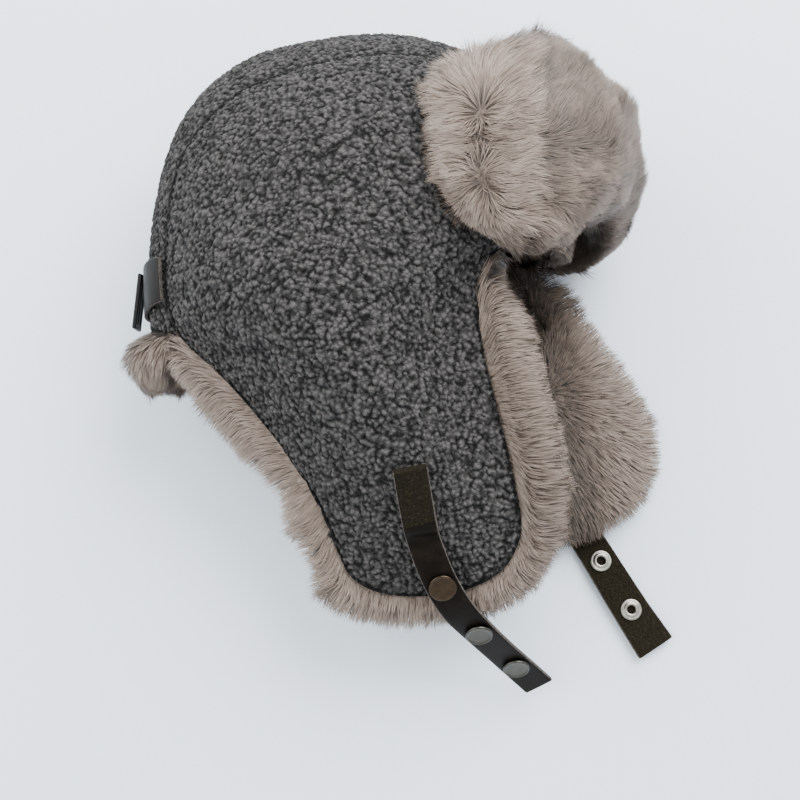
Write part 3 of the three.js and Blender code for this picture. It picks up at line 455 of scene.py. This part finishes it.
def curl_modifier():
    """Geometry nodes that raise the curls as far as the raise attribute says.

    They keep where each point stood as curl_place, so that the colour follows the same curls.
    """
    tree = bpy.data.node_groups.new("curls", "GeometryNodeTree")
    tree.interface.new_socket("Geometry", in_out="INPUT", socket_type="NodeSocketGeometry")
    tree.interface.new_socket("Geometry", in_out="OUTPUT", socket_type="NodeSocketGeometry")
    entry = add(tree, "NodeGroupInput")
    place = add(tree, "GeometryNodeInputPosition").outputs["Position"]
    kept = add(
        tree,
        "GeometryNodeStoreNamedAttribute",
        {"data_type": "FLOAT_VECTOR", "domain": "POINT", "Name": "curl_place"},
        {"Geometry": entry.outputs[0]},
    )
    tree.links.new(place, kept.inputs["Value"])
    share = add(tree, "GeometryNodeInputNamedAttribute", {"data_type": "FLOAT", "Name": "raise"})
    height = add(
        tree, "ShaderNodeMath", {"operation": "SUBTRACT", 1: 0.45}, {0: curl_nodes(tree, place)}
    ).outputs[0]
    lift = add(
        tree,
        "ShaderNodeMath",
        {"operation": "MULTIPLY"},
        {0: height, 1: share.outputs["Attribute"]},
    ).outputs[0]
    normal = add(tree, "GeometryNodeInputNormal").outputs["Normal"]
    move = add(tree, "ShaderNodeVectorMath", {"operation": "SCALE"}, {0: normal, "Scale": lift})
    raised = add(
        tree, "GeometryNodeSetPosition", links={"Geometry": kept.outputs[0], "Offset": move.outputs[0]}
    )
    leave = add(tree, "NodeGroupOutput")
    tree.links.new(raised.outputs[0], leave.inputs[0])
    return tree


CURLS = curl_modifier()


def sherpa_panel(node, faces_out, cuts):
    """A sherpa panel: the CAD wall made smooth, its outer side cut fine and raised in curls."""
    shape = merged_copy(node)
    bmesh.ops.join_triangles(
        shape,
        faces=shape.faces,
        angle_face_threshold=WALL_TURN,
        angle_shape_threshold=WALL_TURN,
    )
    crease = shape.edges.layers.float.new("crease_edge")
    for edge in shape.edges:
        if edge.calc_face_angle(0.0) > WALL_TURN:
            edge[crease] = 1.0
    piece = finished(shape, node + "_sherpa", SHERPA)
    rounding = piece.modifiers.new("rounding", "SUBSURF")
    rounding.levels = rounding.render_levels = 2
    applied(piece)
    shape = bmesh.new()
    shape.from_mesh(piece.data)
    rim = set()
    for edge in shape.edges:
        if edge.calc_face_angle(0.0) > WALL_TURN:
            rim.update(edge.verts)
    border = kdtree.KDTree(len(rim))
    for index, vertex in enumerate(rim):
        border.insert(vertex.co, index)
    border.balance()
    outer = [face for face in shape.faces if faces_out(face)]
    edges = list({edge for face in outer for edge in face.edges})
    bmesh.ops.subdivide_edges(shape, edges=edges, cuts=cuts, use_grid_fill=True)
    shape.normal_update()
    raising = shape.verts.layers.float.new("raise")
    for vertex in shape.verts:
        if not any(faces_out(face) for face in vertex.link_faces):
            continue
        share = smooth_step(0.0, SEAM_ROUNDING, border.find(vertex.co)[2])
        vertex[raising] = CURL_HEIGHT * (0.3 + 0.7 * share)
        vertex.co -= vertex.normal * SEAM_DEPTH * (1.0 - share)
    shape.to_mesh(piece.data)
    shape.free()
    piece.data.polygons.foreach_set("use_smooth", [True] * len(piece.data.polygons))
    curls = piece.modifiers.new("curls", "NODES")
    curls.node_group = CURLS
    applied(piece)
    # The curls that the hat lies on are pressed flat on the floor
    for vertex in piece.data.vertices:
        vertex.co.z = max(vertex.co.z, 0.05 * MM)
    settle(piece, "sherpa", node)


# Each panel's outer side, and how often its faces are cut: less where the hat lies on them
sherpa_panel("right_side_panel", lambda face: face.normal.z > 0.12, 3)
sherpa_panel(
    "centre_panel",
    lambda face: face.normal.dot(face.calc_center_median() - HOLLOW_MIDDLE) > 0.02,
    3,
)
sherpa_panel("left_side_panel", lambda face: face.normal.z < -0.12, 1)


def fur_backing(node, rounds):
    """The fur's body: the CAD solid rounded and drawn in, so that the strands give its outline."""
    piece = finished(merged_copy(node), node + "_backing", UNDERHAIR_AND_BROW_SHADE)
    even = piece.modifiers.new("even", "REMESH")
    even.mode = "VOXEL"
    even.voxel_size = BACKING_CELL
    round_off = piece.modifiers.new("round_off", "SMOOTH")
    round_off.factor = 0.5
    round_off.iterations = rounds
    applied(piece)
    shape = bmesh.new()
    shape.from_mesh(piece.data)
    shape.normal_update()
    for vertex in shape.verts:
        vertex.co -= vertex.normal * BACKING_INSET
        vertex.co.z = max(vertex.co.z, 0.1 * MM)
    shape.to_mesh(piece.data)
    shape.free()
    piece.data.polygons.foreach_set("use_smooth", [True] * len(piece.data.polygons))
    return piece


def sample_surface(piece, count, seed):
    """Places spread evenly over a piece's surface, with its smooth normals there."""
    mesh = piece.data
    mesh.calc_loop_triangles()
    corners = np.zeros(len(mesh.loop_triangles) * 3, dtype=np.int64)
    mesh.loop_triangles.foreach_get("vertices", corners)
    corners = corners.reshape(-1, 3)
    points = coordinates(mesh)
    normals = vertex_normals(mesh)
    a, b, c = (points[corners[:, k]] for k in range(3))
    areas = np.linalg.norm(np.cross(b - a, c - a), axis=1)
    picker = np.random.default_rng(seed)
    chosen = picker.choice(len(areas), size=count, p=areas / areas.sum())
    r1 = np.sqrt(picker.random(count))
    r2 = picker.random(count)
    weights = np.stack([1 - r1, r1 * (1 - r2), r1 * r2], axis=1)
    place = np.einsum("nk,nkd->nd", weights, points[corners[chosen]])
    facing = np.einsum("nk,nkd->nd", weights, normals[corners[chosen]])
    return place, unit(facing)


def unit(vectors):
    """The vectors at a length of one."""
    length = np.linalg.norm(vectors, axis=1, keepdims=True)
    return vectors / np.maximum(length, 1e-9)


def tangent(vectors, normals):
    """The vectors laid flat on the surface, at a length of one."""
    return unit(vectors - normals * np.sum(vectors * normals, axis=1, keepdims=True))


def nearness(points, place, radius):
    """How near each point is to a place given in mm: 1 there, and fading out round that radius."""
    distance = np.linalg.norm(points - np.array(place) * MM, axis=1, keepdims=True)
    return np.exp(-((distance / radius) ** 2))


def drift(points, size, seed):
    """A vector that turns slowly over the surface, so that the fur isn't combed straight."""
    shift = Vector((seed * 3.7, seed * 1.3, seed * 2.1))
    return np.array([noise.noise_vector(Vector(p) / size + shift) for p in points])


def away_from_panel(node, points):
    """The way from the nearest place on a sherpa panel to each point."""
    shape = merged_copy(node)
    surface = BVHTree.FromBMesh(shape)
    shape.free()
    nearest = np.array([surface.find_nearest(Vector(p))[0] for p in points])
    return points - nearest


def whole_hat():
    """The CAD solids of the sherpa and the fur as one surface to measure against."""
    shape = bmesh.new()
    for node in ("right_side_panel", "centre_panel", "right_flap_fur", "left_flap_fur", "front_flap"):
        shape.from_mesh(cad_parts[node].data)
    surface = BVHTree.FromBMesh(shape)
    shape.free()
    return surface


HAT = whole_hat()


def hollow_share(points, normals):
    """How far each place lies in a hollow: the share of the ways out that the hat blocks."""
    ways = []
    for row, lean in enumerate((0.35, 0.9)):
        for step in range(6):
            turn = math.tau * (step + 0.5 * row) / 6
            ways.append(np.array([lean * math.cos(turn), lean * math.sin(turn), 1.0]))
    blocked = np.zeros(len(points))
    for way in ways:
        toward = unit(way + normals * 0.3)
        for index, (start, ray) in enumerate(zip(points + normals * HOLLOW_START, toward)):
            if HAT.ray_cast(Vector(start), Vector(ray), HOLLOW_REACH)[0] is not None:
                blocked[index] += 1.0 / len(ways)
    return blocked


def grow_fur(name, points, normals, comb, length, stand, seed, pull=0.3, shade=0.0, coat=FUR):
    """Tapered strands from points, combed along the surface and drawn together in tufts.

    stand is how steeply they rise, pull how far they are drawn to their tuft's tip, and shade how
    much painted shade darkens them. A tuft in a hollow gets more painted shade. length, stand and
    shade may be given for each point.
    """
    picker = np.random.default_rng(seed)
    count = len(points)
    length = np.broadcast_to(length, count)[:, None]
    stand = np.broadcast_to(stand, count)[:, None]
    shade = np.broadcast_to(shade, count)
    comb = tangent(comb + 0.1 * picker.standard_normal((count, 3)), normals)
    swell = 1.0 + 0.12 * drift(points, 9 * MM, seed + 20)[:, :1]
    long = length * picker.uniform(0.85, 1.1, count)[:, None] * swell
    first = unit(comb + normals * stand)
    later = unit(comb + normals * (stand * 0.3) + np.array([0.0, 0.0, -0.1]))
    tips = points + long * (0.5 * first + 0.5 * later)
    centres = picker.choice(count, size=max(count // TUFT, 1), replace=False)
    hollow = hollow_share(points[centres], normals[centres])
    varied = TUFT_TONE + TONE_SPREAD * (picker.random(len(centres)) - 0.5)
    # Painted shade: a tuft deep in a hollow, or given shade, is darker
    tone = varied - HOLLOW_PAINTED_SHADE * hollow - shade[centres]
    tone = np.clip(tone, 0.0, 0.999)
    tree = kdtree.KDTree(len(centres))
    for index, centre in enumerate(centres):
        tree.insert(Vector(points[centre]), index)
    tree.balance()
    owner = np.array([tree.find(Vector(p))[1] for p in points])
    drawn = (tips[centres][owner] - tips) * picker.uniform(0.2 * pull, pull, count)[:, None]
    middle = points + long * (0.375 * first + 0.125 * later) + drawn * 0.25
    tips = tips + drawn
    ahead = unit(tips - points)
    side = unit(np.cross(ahead, normals))
    facing = np.cross(side, ahead)
    turn = picker.uniform(-0.6, 0.6, count)[:, None]
    side = side * np.cos(turn) + facing * np.sin(turn)
    broad = STRAND_WIDTH * picker.uniform(0.7, 1.3, count)[:, None] / 2
    # A strand is a square-ended half that bends and a pointed one
    rows = [
        points - side * broad,
        points + side * broad,
        middle - side * broad * 0.9,
        middle + side * broad * 0.9,
        tips,
    ]
    vertices = np.stack(rows, axis=1).reshape(-1, 3)
    vertices[:, 2] = np.maximum(vertices[:, 2], 0.3 * MM)
    faces = []
    for start in range(0, count * 5, 5):
        faces.append((start, start + 1, start + 3, start + 2))
        faces.append((start + 2, start + 3, start + 4))
    mesh = bpy.data.meshes.new(name)
    mesh.from_pydata(vertices.tolist(), [], faces)
    # The UV map has a column for each tone, with the strand's root at its foot
    column = ((tone * FUR_COLUMNS).astype(int)[owner] + 0.5) / FUR_COLUMNS
    edge = 0.3 / FUR_COLUMNS
    u = np.stack([column - edge, column + edge, column - edge, column + edge, column], axis=1)
    v = np.tile([0.02, 0.02, 0.5, 0.5, 0.98], count)
    corners = np.zeros(len(mesh.loops), dtype=np.int64)
    mesh.loops.foreach_get("vertex_index", corners)
    layer = mesh.uv_layers.new(name="OFBake")
    layer.data.foreach_set("uv", np.stack([u.reshape(-1)[corners], v[corners]], axis=1).reshape(-1))
    mesh.polygons.foreach_set("use_smooth", [True] * len(mesh.polygons))
    # Hair shades as the coat that it lies in, so each strand's normals lean to the coat's
    lean = unit(normals * 0.65 + np.cross(side, ahead) * 0.35)
    mesh.normals_split_custom_set_from_vertices(np.repeat(lean, 5, axis=0).tolist())
    mesh.materials.append(coat)
    piece = bpy.data.objects.new(name, mesh)
    bpy.context.scene.collection.objects.link(piece)
    settle(piece, "fur")


def bulge(backing, panel):
    """Pushes the rolled edge out where the fur hangs wider at the back of the near flap."""
    points = coordinates(backing.data)
    away = away_from_panel(panel, points)
    outward = np.array(BULGE_WAY)
    # The lining under the sherpa stays: only what lies past the panel's edge moves
    past = smooth_step(0.1, 0.7, unit(away) @ outward)
    near = nearness(points, BACK_BULGE, BULGE_RADIUS)[:, 0]
    share = near * past * smooth_step(1 * MM, 7 * MM, np.linalg.norm(away, axis=1))
    moved = points + share[:, None] * outward * BULGE_REACH
    backing.data.vertices.foreach_set("co", moved.reshape(-1))


def lie_of_flap(panel, middle, points, normals, seed):
    """Over its rolled edge a flap's fur lies away from the sherpa, inside it fans from the middle."""
    away = away_from_panel(panel, points)
    away -= normals * np.sum(away * normals, axis=1, keepdims=True)
    reach = np.linalg.norm(away, axis=1, keepdims=True)
    edge = smooth_step(1.5 * MM, 5.0 * MM, reach)
    fan = tangent(points - np.array(middle) * MM, normals)
    return edge * unit(away) + (1.0 - edge) * fan + 0.3 * drift(points, 26 * MM, seed)


def shade_by_near_flap(points):
    """Painted shade on the far flap's fur beside the near flap, which overhangs it, fading to a little
    paler at its outer edge.
    """
    top, foot = (np.array(end) * MM for end in NEAR_FLAP_EDGE)
    across = np.array([foot[1] - top[1], top[0] - foot[0]])
    off = (points[:, :2] - top) @ (-across / np.linalg.norm(across))
    return 0.6 * (1.0 - smooth_step(4 * MM, 36 * MM, off)) - 0.08


def right_flap_fur():
    """The near flap's fur, which is wider and longer at the back."""
    backing = fur_backing("right_flap_fur", 6)
    bulge(backing, "right_side_panel")
    points, normals = sample_surface(backing, 51000, 3)
    comb = lie_of_flap("right_side_panel", (10.0, -40.0, 90.0), points, normals, 3)
    settle(backing, "fur", "right_flap_fur")
    length = 12 * MM * (1.0 + 0.3 * nearness(points, BACK_BULGE, BULGE_RADIUS)[:, 0])
    grow_fur("right_flap_fur_strands", points, normals, comb, length, 0.6, 3)


def left_flap_fur():
    """The far flap's short, dense fur, which is longer at the brow."""
    backing = fur_backing("left_flap_fur", 6)
    points, normals = sample_surface(backing, 38500, 4)
    comb = lie_of_flap("left_side_panel", (85.0, -15.0, 5.0), points, normals, 4)
    settle(backing, "fur", "left_flap_fur")
    length = 9.5 * MM * (1.0 + 0.9 * smooth_step(28 * MM, 44 * MM, points[:, 1]))
    shade = shade_by_near_flap(points)
    grow_fur("left_flap_fur_strands", points, normals, comb, length, 1.1, 4, 0.15, shade)


def nape_fur():
    """The roll of fur round the nape."""
    backing = fur_backing("nape_fur", 40)
    points, normals = sample_surface(backing, 8500, 5)
    comb = lie_of_flap("centre_panel", (-120.0, 30.0, 55.0), points, normals, 5)
    settle(backing, "fur", "nape_fur")
    grow_fur("nape_fur_strands", points, normals, comb, 11 * MM, 0.7, 5)


right_flap_fur()
left_flap_fur()
nape_fur()


def brow_fur():
    """The far flap's fur runs on inside the brow, where painted shade darkens it under the front flap.

    On the left panel it points out of the brow, where the panel doesn't face the floor, and round
    the centre panel's edge it is short, hangs and is given the dark underhair as painted shade.
    """
    low, high = np.array(BROW_FUR).T * MM
    lots = (
        ("left_side_panel", 210000, -0.5, (1.0, -0.2, 0.0), 13 * MM, FUR),
        # The centre panel's strands take the dark underhair as painted shade
        ("centre_panel", 90000, -1.1, (0.1, -0.4, -1.0), 8 * MM, UNDERHAIR_AND_BROW_SHADE),
    )
    for node, count, lowest_facing, way, length, coat in lots:
        points, normals = sample_surface(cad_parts[node], count, 8)
        there = np.all((points > low) & (points < high), axis=1) & (normals[:, 2] > lowest_facing)
        points, normals = points[there], normals[there]
        comb = np.array(way) + 0.3 * drift(points, 20 * MM, 8)
        name = node.replace("_panel", "_brow_fur_strands")
        # Painted shade darkens the strands inside the brow
        grow_fur(name, points, normals, comb, length, 0.9, 8, shade=0.3, coat=coat)


brow_fur()


def front_flap_comb(points):
    """The way the front flap's fur is combed, as it lies in the photograph.

    Left of the parting it lies out from two whorls. Right of it, it is brushed up the face at the
    top, straight over the outer edge in the middle and down over it at the foot.
    """
    comb = np.tanh((points[:, :1] / MM - WHORLS[0][0]) / 10.0) * np.array([0.7, 0.0, 0.0])
    for whorl in WHORLS:
        out = unit(points - np.array(whorl) * MM)
        comb = comb + 1.5 * out * nearness(points, whorl, 26 * MM)
    over, along = points[:, :1], points[:, 1:2]
    # Between the whorls it lies straight to both sides
    between = smooth_step(58 * MM, 68 * MM, along) * (1.0 - smooth_step(92 * MM, 104 * MM, along))
    comb[:, 1:2] *= 1.0 - 0.8 * between
    up = smooth_step(80 * MM, 94 * MM, along)
    down = 1.0 - smooth_step(48 * MM, 72 * MM, along)
    lower = np.array([1.0, 0.05, 0.0]) * (1.0 - down) + np.array([0.8, -0.6, 0.0]) * down
    brushed = np.array([0.5, 0.8, 0.0]) * up + (1.0 - up) * lower
    right = smooth_step((PARTING - 3) * MM, (PARTING + 3) * MM, over)
    return unit(comb) * (1.0 - right) + brushed * right


def front_flap_fur():
    """The front flap's long fur, parted along its face and in two pieces to keep each one small."""
    backing = fur_backing("front_flap", 38)
    points, normals = sample_surface(backing, 86000, 6)
    # The middle of a whorl is tangled, so the combing is less even there
    inward = sum(nearness(points, whorl, 13 * MM) for whorl in WHORLS)
    tangle = drift(points, 15 * MM, 6) * 0.5 + drift(points, 6 * MM, 16) * (0.45 + 0.9 * inward)
    comb = front_flap_comb(points) + tangle
    # Short where the flap turns under at its foot, and long at its top
    under = smooth_step(0.1, 0.8, -normals[:, 1])
    top = smooth_step(105 * MM, 130 * MM, points[:, 1])
    length = 14 * MM * (1.0 - 0.55 * under + 0.25 * top)
    # Darker right of the parting, most where it is brushed up
    over = points[:, 0] / MM - PARTING
    high = smooth_step(58 * MM, 86 * MM, points[:, 1])
    shade = smooth_step(-2.0, 2.0, over) * (0.36 + 0.2 * high - 0.1 * smooth_step(25.0, 60.0, over))
    shade = shade + 0.3 * drift(points, 8 * MM, 26)[:, 0]
    # The fur left of the parting stands up against the fur right of it
    ridge = np.exp(-(((over + 4.0) / 4.0) ** 2)) * 0.6 - np.exp(-(((over - 5.0) / 5.0) ** 2)) * 0.35
    stand = 0.85 + ridge * (0.25 + 0.75 * high)
    # Painted shade in the hollows where the fur parts near the whorls
    for spot in PAINTED_SHADE_HOLLOWS:
        shade = shade + 0.4 * nearness(points, spot, 6 * MM)[:, 0]
    settle(backing, "fur", "front_flap")
    half = len(points) // 2
    for index, part in enumerate((slice(0, half), slice(half, None))):
        grow_fur(
            f"front_flap_strands_{index + 1}",
            points[part],
            normals[part],
            comb[part],
            length[part],
            stand[part],
            6 + index,
            0.4,
            shade[part],
        )


front_flap_fur()


def surfaces(shape, angle):
    """The shape's faces in lots, parted where the surface turns by more than angle."""
    free = set(shape.faces)
    lots = []
    while free:
        start = free.pop()
        lot = [start]
        for face in lot:
            for edge in face.edges:
                if edge.calc_face_angle(0.0) > angle:
                    continue
                for other in edge.link_faces:
                    if other in free:
                        free.remove(other)
                        lot.append(other)
        lots.append(lot)
    return lots


def mean_width(lot):
    """How wide a lot of faces is, taken as a strip: twice its area by its outline."""
    own = set(lot)
    outline = sum(
        edge.calc_length() for face in lot for edge in face.edges if not set(edge.link_faces) <= own
    )
    return 2.0 * sum(face.calc_area() for face in lot) / max(outline, 1e-9)


def strap_piece(node, face_material, back_material, outward):
    """A leather strap with a finished face, a split back and pale raw edges where it was cut."""
    shape = merged_copy(node)
    bmesh.ops.join_triangles(
        shape,
        faces=shape.faces,
        angle_face_threshold=math.radians(35),
        angle_shape_threshold=math.radians(60),
    )
    turn = math.radians(40)
    crease = shape.edges.layers.float.new("crease_edge")
    for edge in shape.edges:
        if edge.calc_face_angle(0.0) > turn:
            edge[crease] = 0.92
    for lot in surfaces(shape, turn):
        facing = sum((face.normal * face.calc_area() for face in lot), Vector())
        side = 2 if mean_width(lot) < EDGE_WIDTH else (0 if facing.dot(outward) > 0 else 1)
        for face in lot:
            face.material_index = side
    piece = finished(shape, node + "_leather", face_material)
    piece.data.materials.append(back_material)
    piece.data.materials.append(RAW_EDGE)
    rounding = piece.modifiers.new("rounding", "SUBSURF")
    rounding.levels = rounding.render_levels = 3
    applied(piece)
    return settle(piece, "strap_leather", node)


right_strap = strap_piece("right_strap", LEATHER, SUEDE, UP)
strap_piece("left_strap", SUEDE, LEATHER, UP)
strap_piece("back_strap", LEATHER, SUEDE, Vector((-1.0, 0.0, 0.0)))


def stitch_run(shape, strap, start, end):
    """Stitches laid on the strap along a straight line, as seen from above."""
    run = end - start
    count = max(round(run.length / STITCH_STEP), 1)
    direction = run.normalized()
    angle = math.atan2(direction.y, direction.x)
    for index in range(count):
        spot = start + run * ((index + 0.5) / count)
        hit = strap.ray_cast(Vector((spot.x, spot.y, 1.0)), Vector((0.0, 0.0, -1.0)))
        if hit[0] is None:
            continue
        made = bmesh.ops.create_icosphere(shape, subdivisions=2, radius=STITCH_RADIUS)
        stretch = Matrix.Diagonal((run.length / count * 0.4 / STITCH_RADIUS, 1.0, 0.75, 1.0))
        lean = UP.rotation_difference(hit[1]).to_matrix().to_4x4()
        turned = Matrix.Translation(hit[0]) @ lean @ Matrix.Rotation(angle, 4, "Z") @ stretch
        bmesh.ops.transform(shape, matrix=turned, verts=made["verts"])


def sewn_square():
    """The matt doubled end that holds the right strap on the flap, sewn round and across in an X."""
    down = (SEWN_BOTTOM - SEWN_TOP).normalized()
    for face in right_strap.data.polygons:
        far = (Vector(face.center[:2]) - SEWN_TOP).dot(down)
        if face.material_index == 0 and far < (SEWN_BOTTOM - SEWN_TOP).length:
            face.material_index = 1
    strap = BVHTree.FromObject(right_strap, bpy.context.evaluated_depsgraph_get())
    across = Vector((-down.y, down.x))
    high = SEWN_TOP + down * SEWN_MARGIN
    low = SEWN_BOTTOM - down * SEWN_MARGIN
    corners = [
        high - across * SEWN_HALF,
        high + across * SEWN_HALF,
        low + across * SEWN_HALF,
        low - across * SEWN_HALF,
    ]
    shape = bmesh.new()
    for index in range(4):
        stitch_run(shape, strap, corners[index], corners[(index + 1) % 4])
    stitch_run(shape, strap, corners[0], corners[2])
    stitch_run(shape, strap, corners[1], corners[3])
    settle(finished(shape, "sewn_square_stitches", THREAD), "strap_leather")


sewn_square()


def disc_frame(node):
    """Middle and axis of a flat round CAD node: the axis is its thinnest direction, upwards."""
    points = coordinates(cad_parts[node].data)
    middle = points.mean(axis=0)
    axis = np.linalg.svd(points - middle)[2][2]
    return Vector(middle), Vector(axis if axis[2] > 0 else -axis)


def turned_piece(name, node, profile, material, slot, flip=False):
    """A piece turned on a lathe from a profile, seated where its CAD node is.

    flip turns it over, for a cap that faces the floor.
    """
    shape = bmesh.new()
    rows = [shape.verts.new((radius * MM, 0.0, height * MM)) for radius, height in profile]
    edges = [shape.edges.new(pair) for pair in zip(rows, rows[1:])]
    bmesh.ops.spin(
        shape,
        geom=rows + edges,
        cent=(0, 0, 0),
        axis=(0, 0, 1),
        angle=2 * math.pi,
        steps=48,
        use_merge=True,
    )
    bmesh.ops.remove_doubles(shape, verts=shape.verts, dist=0.01 * MM)
    bmesh.ops.recalc_face_normals(shape, faces=shape.faces)
    middle, axis = disc_frame(node)
    points = coordinates(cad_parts[node].data)
    heights = (points - np.array(middle)) @ np.array(axis)
    back = middle + axis * float(heights.max() if flip else heights.min())
    turn = (-axis if flip else axis).to_track_quat("Z", "Y").to_matrix().to_4x4()
    shape.transform(Matrix.Translation(back) @ turn)
    settle(finished(shape, name, material), slot, node)


turned_piece("right_cap_1_bronze", "right_snap_cap_1", CAP_PROFILE, BRONZE, "bronze_snap")
for index in (2, 3):
    node = f"right_snap_cap_{index}"
    turned_piece(f"right_cap_{index}_gunmetal", node, CAP_PROFILE, GUNMETAL, "gunmetal_snap")
for index in (1, 2):
    node = f"left_snap_cap_{index}"
    turned_piece(f"left_cap_{index}_gunmetal", node, CAP_PROFILE, GUNMETAL, "gunmetal_snap", True)
    node = f"left_snap_socket_{index}"
    turned_piece(f"left_socket_{index}_nickel", node, SOCKET_PROFILE, NICKEL, "socket_metal")


def slider_piece():
    """The rear slider with its moulded edges eased."""
    shape = merged_copy("back_slider")
    bmesh.ops.dissolve_limit(shape, angle_limit=math.radians(2), verts=shape.verts, edges=shape.edges)
    sharp = [edge for edge in shape.edges if edge.calc_face_angle(0.0) > math.radians(45)]
    bmesh.ops.bevel(
        shape, geom=sharp, offset=0.5 * MM, segments=3, profile=0.5, affect="EDGES", material=-1
    )
    settle(finished(shape, "back_slider_nylon", NYLON), "slider_plastic", "back_slider")


slider_piece()


def pale_floor():
    """A plain pale floor under the hat."""
    material, tree, shader = new_material("pale_floor", {"Roughness": 0.9})
    shader.inputs["Base Color"].default_value = linear("e3ecf6")
    shape = bmesh.new()
    bmesh.ops.create_grid(shape, x_segments=1, y_segments=1, size=3.0)
    floor = finished(shape, "floor", material)


def area_light(name, place, target, size, power):
    """A round soft light that faces a place, in metres and watts."""
    light = bpy.data.lights.new(name, "AREA")
    light.shape = "DISK"
    light.size = size
    light.energy = power
    lamp = bpy.data.objects.new(name, light)
    lamp.location = place
    lamp.rotation_euler = (Vector(target) - Vector(place)).to_track_quat("-Z", "Y").to_euler()
    bpy.context.scene.collection.objects.link(lamp)


def studio():
    """Soft daylight from the top right, with a pale surround that fills the shadows."""
    pale_floor()
    area_light("window", (0.6, 0.85, 1.1), (0.05, 0.08, 0.05), 1.3, 50)
    area_light("fill", (-1.2, 0.3, 1.0), (0, 0, 0.05), 1.6, 28)
    world = bpy.data.worlds.new("surround")
    world.use_nodes = True
    background = world.node_tree.nodes["Background"]
    background.inputs["Color"].default_value = linear("e6e9ec")
    background.inputs["Strength"].default_value = 1.9
    bpy.context.scene.world = world
    camera = bpy.data.cameras.new("camera")
    camera.lens = VIEW_LENS
    camera.sensor_width = 36.0
    camera.clip_start = 0.05
    eye = bpy.data.objects.new("camera", camera)
    toward = Vector((0.0, -math.cos(VIEW_ELEVATION), math.sin(VIEW_ELEVATION)))
    eye.location = VIEW_POINT + toward * VIEW_DISTANCE
    eye.rotation_euler = (-toward).to_track_quat("-Z", "Y").to_euler()
    bpy.context.scene.collection.objects.link(eye)
    bpy.context.scene.camera = eye


studio()
